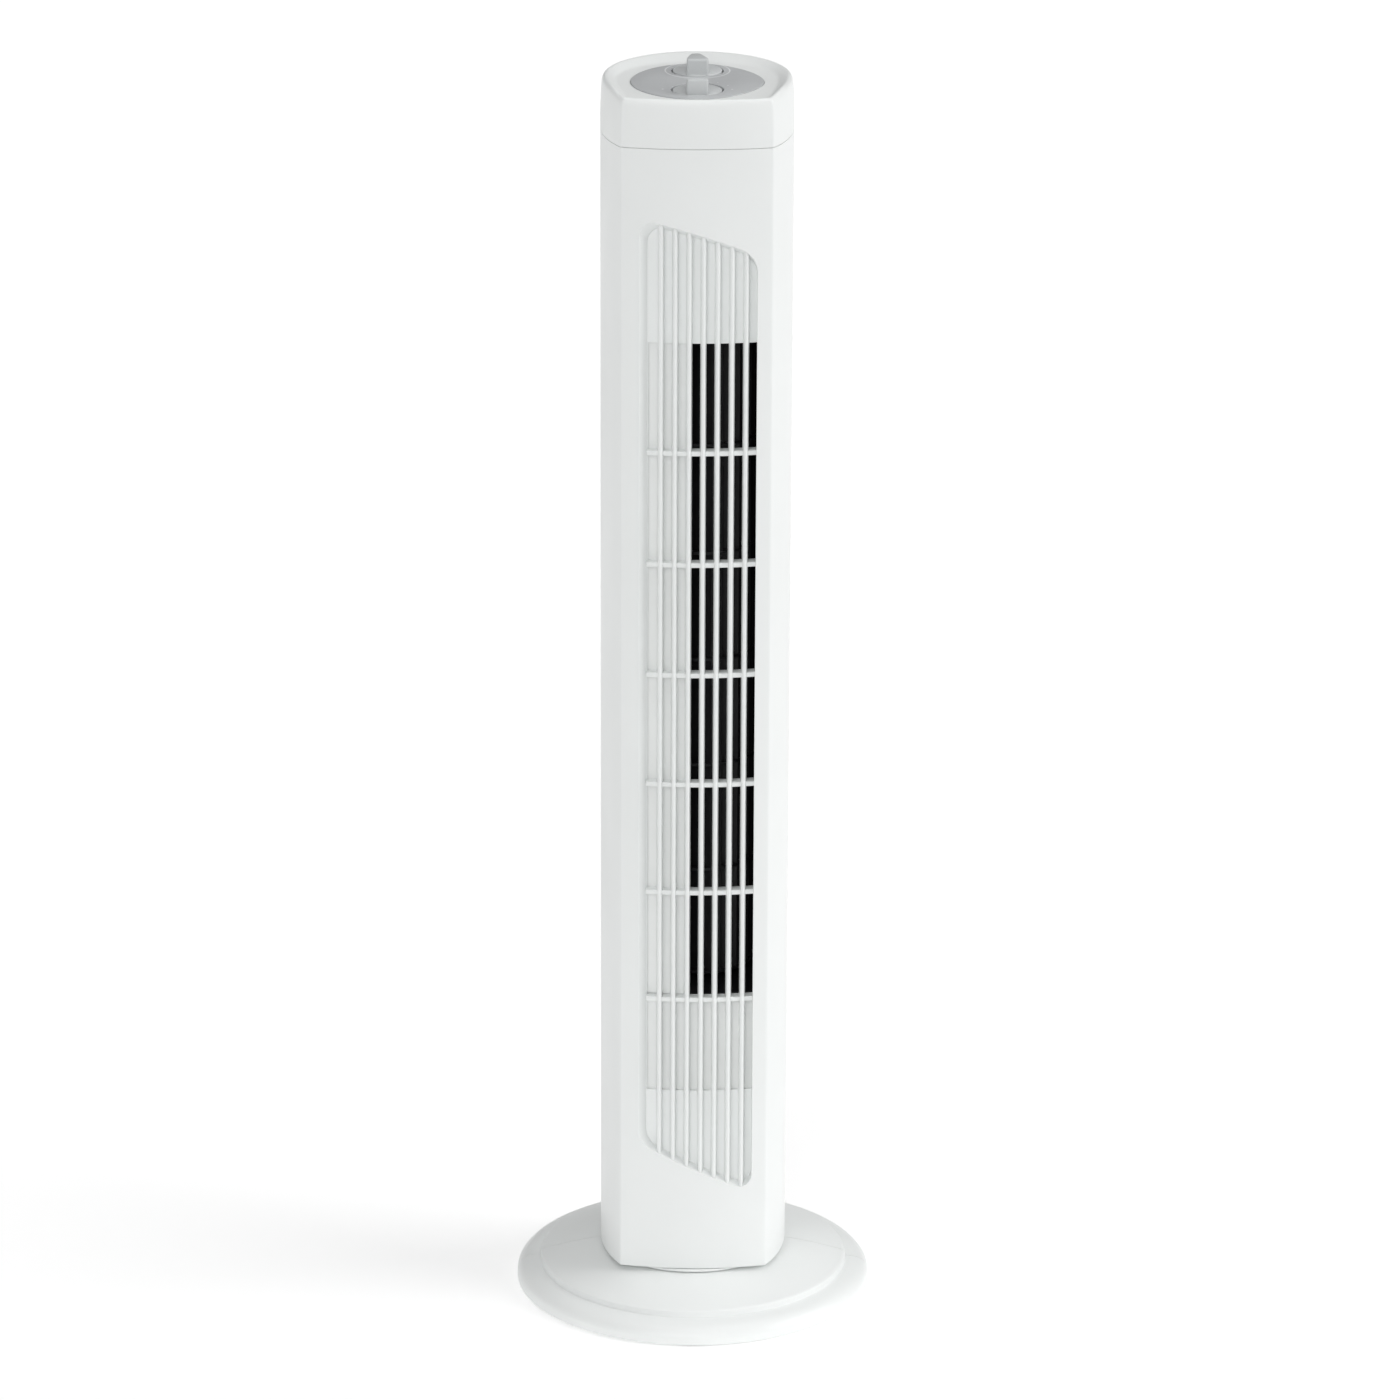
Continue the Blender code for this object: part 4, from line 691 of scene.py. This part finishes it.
def around_wheel(first, last, start, end, steps=48):
    """Points round the wheel between two angles, from the first distance to the last."""
    points = []
    for i in range(steps + 1):
        share = i / steps
        angle = math.radians(start + (end - start) * share)
        reach = last + (first - last) * (1 - share) ** 1.5
        points.append((WHEEL[0] + reach * math.cos(angle), WHEEL[1] + reach * math.sin(angle)))
    return points


def make_scroll_wall():
    """The spiral wall, and a thin black sheet laid on the white motor deck below the wheel, from the air
    guide's edge to the wall: painted shade, standing in for the shade that falls on the deck.
    """
    lip_x, wall_end = 38 * MM, 72  # the wall begins at the outlet's lip, and ends at this angle
    lip_y = front_y(lip_x, LINING) + 1.4 * MM
    reach = math.hypot(lip_x - WHEEL[0], lip_y - WHEEL[1])
    start = math.degrees(math.atan2(lip_y - WHEEL[1], lip_x - WHEEL[0]))
    inner = around_wheel(reach, 36 * MM, start, wall_end)
    outer = around_wheel(reach + 1.7 * MM, 37.8 * MM, start, wall_end)
    wall = mesh_object("scroll_shape", prism(inner + outer[::-1], MOTOR_DECK + GAP, AIR_TOP))
    # A black sheet just over the white motor deck, under the throat and the wheel: painted shade.
    low, high = MOTOR_DECK + 0.05 * MM, MOTOR_DECK + 0.6 * MM
    left, right = -2.5 * MM, 37.5 * MM
    across = [left + (right - left) * i / 24 for i in range(25)]
    throat = [(px, front_y(px, LINING)) for px in across]
    floor = prism(throat + [(right, 0.0), (left, 0.0)], low, high)
    disc = rod(35.9 * MM, low, high, 96, *WHEEL)
    hole = rod(5.8 * MM, low - MM, high + 2 * MM, 48, *WHEEL)
    carve(wall, ("UNION", floor), ("UNION", disc), ("DIFFERENCE", hole))
    show(wall, "scroll_wall", 30)


def make_air_guide():
    """The tongue: a bowed panel over the outlet's left part that turns in and follows the wheel."""
    left, right, skin = -38 * MM, -6.5 * MM, 1.8 * MM
    across = [left + (right - left) * i / 24 for i in range(25)]
    near = [(x, front_y(x, LINING)) for x in across]
    edge_y = front_y(-3 * MM, LINING)
    nose = [(-4.9 * MM, edge_y + 0.12 * MM), (-3.8 * MM, edge_y + 0.6 * MM), (-3.15 * MM, edge_y + 1.5 * MM)]
    nose += [(-3 * MM, edge_y + 3 * MM)]
    inner = around_wheel(36.5 * MM, 36.5 * MM, 260, 214, 24)
    outer = around_wheel(38.3 * MM, 38.3 * MM, 214, 256, 24)
    far = [(x, front_y(x, LINING + skin)) for x in reversed(across[:-2])]
    outline = near + nose + inner + outer + far
    show(mesh_object("guide_shape", prism(outline, MOTOR_DECK + GAP, AIR_TOP)), "air_guide", 30)


def make_motor_cover():
    """The panel behind the lowest bay, and the deck above the motor."""
    panel = prism(bowed_strip(-38 * MM, 39 * MM, LINING, 2.6 * MM), COVER_LOW, MOTOR_DECK - 0.5 * MM)
    cover = mesh_object("cover_shape", panel)
    low = MOTOR_DECK - MOTOR_DECK_SKIN
    deck = prism(body_line(WALL + GAP, LINING + GAP), low, MOTOR_DECK)
    hole = rod(6 * MM, low - MM, MOTOR_DECK + MM, 48, *WHEEL)
    carve(cover, ("UNION", deck), ("DIFFERENCE", hole))
    show(cover, "motor_cover", 30)


# --- Top ----------------------------------------------------------------------------


def behind_front(y):
    """0 near the front edge, rising smoothly to 1 where the rim has its full height."""
    share = min(1.0, max(0.0, (y + FRONT - 4 * MM) / (22 * MM)))
    return share * share * (3 - 2 * share)


def cap_point(x, y, side, rear, front, height, lift):
    """A point of the body's outline drawn in by amounts at the sides, the rear and the front."""
    if y > 0:
        drawn, moved = side, y * (1 - rear / REAR)
    else:
        share = -y / FRONT
        drawn = side + (front - side) * share * share
        moved = y + front * share
    return x * (1 - drawn / HALF_WIDTH), moved, height + lift * behind_front(y)


def make_cap():
    """The cap, with a shadow groove over the seam, a raised rim, and a pocket for the control plate."""
    groove, base = SEAM_Z + 0.02 * MM, SEAM_Z + GAP
    edge = DECK + 0.3 * MM
    lift = RIM - edge
    # Draw-in at the sides, the rear and the front, then height and lift.
    profile = [
        (0.7 * MM, 0.7 * MM, 0.7 * MM, groove, 0.0),
        (0.7 * MM, 0.7 * MM, 0.7 * MM, base, 0.0),
        (0.1 * MM, 0.1 * MM, 0.1 * MM, base, 0.0),
        (0.0, 0.0, 0.0, base + 0.1 * MM, 0.0),
        (0.0, 0.0, 0.0, base + 12 * MM, 0.0),
        (0.6 * MM, 0.6 * MM, 0.6 * MM, edge - 4.5 * MM, 0.8 * lift),
        (1.2 * MM, 1.2 * MM, 1.2 * MM, edge - 1.8 * MM, 0.9 * lift),
        (2.2 * MM, 2.2 * MM, 2.0 * MM, edge - 0.5 * MM, lift),
        (3.8 * MM, 4.0 * MM, 3.0 * MM, edge, lift),
        (7.0 * MM, 11 * MM, 3.8 * MM, DECK + 0.1 * MM, 0.55 * lift),
        (9.6 * MM, 19 * MM, 4.4 * MM, DECK, 0.0),
        (14.0 * MM, 24 * MM, 8.0 * MM, DECK, 0.0),
    ]
    profile = profile[:4] + smoothed(profile[4:], 4, 0.42)
    line = body_line(0.0, 0.0, CORNER)
    inner = body_line(WALL, WALL, 0.2 * MM)
    rings = [[(x, y, z) for x, y in inner] for z in (DECK - 3.4 * MM, groove)]
    for side, rear, front, height, rise in profile:
        rings.append([cap_point(x, y, side, rear, front, height, rise) for x, y in line])
    cap = mesh_object("cap_shape", loft(rings))
    holes = bmesh.new()
    for y, _, _ in KNOBS.values():
        rod(KNOB_HOLE, DECK - 10 * MM, DECK + 5 * MM, 96, 0.0, y, holes)
    pocket = prism(control_line(GAP), CONTROL_LOW[2] - GAP, DECK + 20 * MM)
    carve(cap, ("DIFFERENCE", pocket), ("DIFFERENCE", holes))
    show(cap, "top_cap", 28)


def control_line(grow=0.0, steps=200):
    """The control plate's outline: an oval, drawn in a little more on its right side."""
    half_x, half_y = CONTROL_HIGH[0], (CONTROL_HIGH[1] - CONTROL_LOW[1]) / 2
    centre_y = CONTROL_HIGH[1] - half_y
    points = []
    for i in range(steps):
        turn = 2 * math.pi * i / steps
        c, s = math.cos(turn), math.sin(turn)
        power = 1.75 if c > 0 else 1.95
        x = (half_x + grow) * math.copysign(abs(c) ** (2 / power), c)
        y = (half_y + grow) * math.copysign(abs(s) ** (2 / power), s)
        points.append((x, centre_y + y))
    return points


def make_control_plate():
    low, high = CONTROL_LOW[2], CONTROL_HIGH[2]
    rings = []
    for grow, z in ((0.0, low), (0.0, high - 0.35 * MM), (-0.1 * MM, high - 0.12 * MM), (-0.35 * MM, high)):
        rings.append([(x, y, z) for x, y in control_line(grow)])
    plate = mesh_object("control_shape", loft(rings))
    holes = bmesh.new()
    flared = KNOB_HOLE + 0.4 * MM
    edge = [(KNOB_HOLE, low - MM), (KNOB_HOLE, high - 0.3 * MM)]
    edge += [(flared, high + 0.1 * MM), (flared, high + MM)]
    for y, _, _ in KNOBS.values():
        stacked(edge, 96, 0.0, y, holes)
    carve(plate, ("DIFFERENCE", holes))
    show(plate, "control_plate")


def make_knob(function, y, raised, tail_drop):
    """A disc with a rounded rim and a finger grip that narrows and falls towards its tail."""
    low, high = CONTROL_LOW[2], CONTROL_HIGH[2] + raised
    bore = 3.3 * MM
    profile = [(KNOB_R, low), (KNOB_R, high - 0.6 * MM), (KNOB_R - 0.15 * MM, high - 0.25 * MM)]
    profile += [(KNOB_R - 0.6 * MM, high), (bore, high), (bore, low)]
    knob = mesh_object(function + "_knob_shape", turned(profile, 96, 0.0, y))
    head, tail = -13.2 * MM, 6.0 * MM
    # The grip's plan, round from the head's left corner, and the radius of each corner.
    corners = [(-6.2, -13.2, 1.2), (6.2, -13.2, 1.2), (6.5, -9.0, 5.0)]
    corners += [(1.6, 6.0, 1.6), (-3.7, 6.0, 1.6), (-6.5, -8.0, 9.0)]
    plan = rounded([(a * MM, b * MM) for a, b, _ in corners], [r * MM for _, _, r in corners], 6)
    top = high + 9.4 * MM
    rings = []
    # Scale of the plan, and depth below the top; the first ring is sunk in the disc.
    for scale, drop in ((1.03, None), (1.01, 1.6), (1.0, 0.9), (0.985, 0.45), (0.955, 0.15), (0.9, 0.0)):
        ring = []
        for px, py in plan:
            fall = tail_drop * (py - head) / (tail - head)
            z = high - 0.4 * MM if drop is None else top - drop * MM - fall
            ring.append((px * scale, y + py * (1 + (scale - 1) * 0.7), z))
        rings.append(ring)
    grip = mesh_object("grip", loft(rings))
    carve(grip, ("DIFFERENCE", rod(bore, low - MM, high + 4 * MM, 32, 0.0, y)))
    add_piece(knob, grip)
    show(knob, function + "_knob", 38)


# --- Base ---------------------------------------------------------------------------


def dome_z(share):
    """Height of the base's dome, from its top edge at share 0 to its outer edge at share 1."""
    return 25.8 * MM - 7.8 * MM * share**1.25


def base_profile():
    """The base's whole section, round from the rim's lower edge, over the dome and back underneath."""
    outer = [(109.7, 1.2), (110, 1.5)]
    for i in range(17):
        turn = math.pi / 2 * i / 16
        outer.append((97 + 13 * math.cos(turn), 5 + 8.5 * math.sin(turn)))
    outer += [(96.0, 13.55), (95.7, 13.8), (95.5, 14.2), (95.4, 16.2)]
    outer += [(95.1, 16.9), (94.4, 17.5), (93.4, 17.85)]
    hub = [(54, 26.15), (48.4, 26.2), (48, 25.8), (48, 23.5), (56, 23.5)]
    skirt = [(98, 11.1), (103.5, 9.3), (107.6, 5), (107.6, 1.2)]
    dome_edge, dome_width = 92.5 * MM, 34.5 * MM
    over = [(dome_edge - dome_width * i / 14, dome_z(1 - i / 14)) for i in range(15)]
    shares = (0.145, 0.35, 0.58, 0.8, 1.0)
    under = [(dome_edge - dome_width * (1 - share), dome_z(share) - WALL) for share in shares]
    outer, hub, skirt = ([(r * MM, z * MM) for r, z in part] for part in (outer, hub, skirt))
    return outer + over + hub + under + skirt


def make_base():
    """Two halves that meet on a seam along X, with bosses for the feet and holes for the screws."""
    reach = 200 * MM
    for node, low, high in (("base_front", -reach, -GAP / 2), ("base_rear", GAP / 2, reach)):
        half = mesh_object(node + "_shape", turned(base_profile(), 160))
        bosses, holes = bmesh.new(), bmesh.new()
        for x, y in FEET:
            if low < y < high:
                rod(9.5 * MM, 3.2 * MM, 7.2 * MM, 36, x, y, bosses)
        for x, y in BASE_SCREWS:
            rod(1.9 * MM, 22.5 * MM, 25.2 * MM, 24, x, y, holes)
        side = box((-reach, low, -10 * MM), (reach, high, 60 * MM))
        carve(half, ("UNION", bosses), ("DIFFERENCE", holes), ("INTERSECT", side))
        show(half, node, 24)


def make_feet():
    profile = [(6.9, 0.0), (7.6, 0.15), (8.05, 0.5), (8.2, 1.0), (8.2, 2.9)]
    for i, (x, y) in enumerate(FEET):
        shape = stacked([(r * MM, z * MM) for r, z in profile], 48, x, y)
        show(mesh_object("foot_shape", shape), f"foot_{i + 1}")


def make_screw(node, length, place):
    """A pan-head screw with a cross recess, made head up with its seat at the origin, and then placed."""
    head_r, crest, root = 3.2 * MM, 1.6 * MM, 1.3 * MM
    dome = [(0.55, 1.0), (0.8, 0.94), (0.95, 0.72), (1.0, 0.4), (1.0, 0.0)]
    shape = stacked([(head_r * share, SCREW_HEAD * up) for share, up in dome], 32)
    turns = []
    for i in range(int((length - SCREW_HEAD) / THREAD)):
        for radius, down in ((crest, 0.05), (crest, 0.25), (root, 0.45), (root, 0.6)):
            turns.append((radius, -(i + down) * THREAD))
    stacked(turns, 20, builder=shape)
    screw = mesh_object("screw_shape", shape)
    cross = bmesh.new()
    for wide, deep in ((1.9, 0.35), (0.35, 1.9)):
        box((-wide * MM, -deep * MM, 0.9 * MM), (wide * MM, deep * MM, 3 * MM), cross)
    carve(screw, ("DIFFERENCE", cross))
    screw.data.transform(place)
    show(screw, node)


def make_screws():
    """The base's screws have their heads down, and the shells' screws point to the front."""
    for i, (x, y) in enumerate(BASE_SCREWS):
        node = f"base_screw_{i + 1}"
        low, high = box_of(node)
        seat = Matrix.Translation((x, y, low[2] + SCREW_HEAD))
        make_screw(node, high[2] - low[2], seat @ Matrix.Rotation(math.pi, 4, "X"))
    for i, (x, z) in enumerate(SHELL_SCREWS):
        node = f"shell_screw_{i + 1}"
        low, high = box_of(node)
        seat = Matrix.Translation((x, high[1] - SCREW_HEAD, z))
        make_screw(node, high[1] - low[1], seat @ Matrix.Rotation(-math.pi / 2, 4, "X"))


def make_gland():
    profile = [(3.4, 52), (6.0, 52), (6.0, 60.3), (8.3, 60.35), (8.4, 60.8), (8.1, 62.0), (7.0, 62.9)]
    profile += [(5.6, 63.4), (4.4, 63.4), (3.7, 63.1), (3.4, 62.6)]
    shape = along_y([(r * MM, y * MM) for r, y in profile], 0.0, GLAND_Z, 64, None, True)
    show(mesh_object("gland_shape", shape), "cord_gland")


def make_swivel_disc():
    """The disc under the column, cut out round the swing shaft."""
    (_, _, low), (reach, _, high) = box_of("swivel_disc")
    bore, edge = 11.5 * MM, 0.3 * MM
    profile = [(bore, low), (reach - edge, low), (reach, low + edge)]
    profile += [(reach, high - edge), (reach - edge, high), (bore, high)]
    disc = mesh_object("disc_shape", turned(profile, 144))
    cut = mesh_object("cut_shape", rod(16.6 * MM, 20 * MM, 40 * MM, 72, 0.0, middle("swing_shaft")[1]))
    carve(cut, ("DIFFERENCE", rod(14.5 * MM, 10 * MM, 60 * MM, 72)))
    carve(disc, ("DIFFERENCE", unmade(cut)))
    show(disc, "swivel_disc")


# --- Wheel --------------------------------------------------------------------------


def make_wheel():
    """A cross-flow drum: 32 curved blades between rings, closed ends, a hub and a pin boss."""
    x, y = WHEEL
    blades, bays, hub_depth = 32, 6, 2.0 * MM
    inner_r, blade_width, blade_half, curl = 25.3 * MM, 6.5 * MM, 0.45 * MM, 0.42
    low, high = box_of("blower_wheel")[0][2] + hub_depth, box_of("blower_wheel")[1][2]
    builder = bmesh.new()
    for i in range(blades):
        turn = 2 * math.pi * i / blades
        near, far = [], []
        for k in range(7):
            share = k / 6
            radius = inner_r + blade_width * share
            lean = turn - curl * (1 - share) ** 1.5
            c, s = math.cos(lean), math.sin(lean)
            for side, line in ((-blade_half, near), (blade_half, far)):
                line.append((x + radius * c - side * s, y + radius * s + side * c))
        prism(near + far[::-1], low + MM, high - MM, builder)
    pitch = (high - low - 2 * MM) / bays
    ring = [(25, -0.9), (32, -0.9), (32, 0.9), (25, 0.9)]
    hub_end = [(3.3, -2), (9, -2), (9, 0), (31.6, 0), (32, 0.4), (32, 2), (9, 2), (9, 10), (3.3, 10)]
    pin_end = [(2.8, 0), (31.6, 0), (32, -0.4), (32, -2), (7, -2), (7, -8), (2.8, -8)]
    profiles = [(ring, low + MM + pitch * i) for i in range(1, bays)] + [(hub_end, low), (pin_end, high)]
    for profile, level in profiles:
        add_shape(builder, turned([(r * MM, level + z * MM) for r, z in profile], 96, x, y))
    show(mesh_object("wheel_shape", builder), "blower_wheel", 30)


# --- The whole fan ------------------------------------------------------------------

make_front_shell()
make_rear_shell()
make_grille()
make_scroll_wall()
make_air_guide()
make_motor_cover()
make_cap()
make_control_plate()
for function, settings in KNOBS.items():
    make_knob(function, *settings)
make_base()
make_feet()
make_screws()
make_gland()
make_swivel_disc()
make_wheel()

for node, piece in frame["nodes"].items():
    if piece.hide_render:
        continue
    piece.data.materials.clear()
    piece.data.materials.append(BY_SLOT[SLOT_OF[node]])
    piece.data.set_sharp_from_angle(angle=math.radians(35))


# --- Floor, light and camera --------------------------------------------------------


def make_stage():
    """A plain pale floor, far wider than the view, that glows a little except in front of the fan."""
    reach = 30.0
    builder = bmesh.new()
    corners = ((-reach, -reach), (reach, -reach), (reach, reach), (-reach, reach))
    builder.faces.new([builder.verts.new((x, y, 0.0)) for x, y in corners])
    floor = mesh_object("studio_floor", builder)
    if floor.data.polygons[0].normal.z < 0:
        floor.data.flip_normals()
    n = Nodes("studio_paper")
    fibres = n.noise(240.0, 3.0, 0.6)
    toned = n.mix(fibres, (0.90, 0.90, 0.90), (0.93, 0.93, 0.93))
    n.finish(toned, n.spread(fibres, 0.85, 0.95), n.bump(fibres, 0.02, 0.1 * MM))
    n.shader.inputs["Specular IOR Level"].default_value = 0.1
    n.shader.inputs["Emission Color"].default_value = (1, 1, 1, 1)
    depth = n.add("ShaderNodeSeparateXYZ")
    n.join(n.place, depth.inputs[0])
    glow = n.spread(depth.outputs["Y"], 0.0, 0.30, -0.7, -0.05)
    n.join(glow, n.shader.inputs["Emission Strength"])
    floor.data.materials.append(n.material)
    floor.data.shade_smooth()


def soft_sun(name, toward, strength, spread):
    """A far, wide light in a direction: even over the whole floor, with soft shadows."""
    data = bpy.data.lights.new(name, "SUN")
    data.energy, data.angle = strength * math.pi, math.radians(spread)
    light = bpy.data.objects.new(name, data)
    light.rotation_euler = Vector(toward).to_track_quat("Z", "Y").to_euler()
    bpy.context.scene.collection.objects.link(light)


def make_world(scene):
    world = bpy.data.worlds.new("studio_world")
    world.use_nodes = True
    background = world.node_tree.nodes["Background"]
    background.inputs["Color"].default_value = (1.0, 1.0, 1.0, 1)
    background.inputs["Strength"].default_value = 0.22
    scene.world = world
    scene.view_settings.view_transform = "Standard"
    scene.view_settings.look = "None"


def make_camera(scene):
    """A long lens that looks down at the fan from in front, at the photograph's angle."""
    lens = bpy.data.cameras.new("camera")
    lens.lens, lens.sensor_width = 176.8, 36.0
    lens.shift_x = 0.0036
    camera = bpy.data.objects.new("camera", lens)
    pitch, roll, distance = math.radians(19.2), math.radians(0.23), 4.2
    aim = Vector((0.0, 0.0, 0.3826))
    camera.location = aim + Vector((0.0, -math.cos(pitch), math.sin(pitch))) * distance
    tilt = (aim - camera.location).to_track_quat("-Z", "Y").to_matrix().to_4x4()
    camera.rotation_euler = (tilt @ Matrix.Rotation(roll, 4, "Z")).to_euler()
    scene.collection.objects.link(camera)
    scene.camera = camera


make_stage()
soft_sun("key", (0.84, -0.14, 0.52), 0.42, 40)
soft_sun("front", (-0.18, -0.85, 0.45), 0.29, 40)
soft_sun("above", (0.0, 0.05, 1.0), 0.27, 60)
make_world(bpy.context.scene)
make_camera(bpy.context.scene)

bpy.context.view_layer.update()
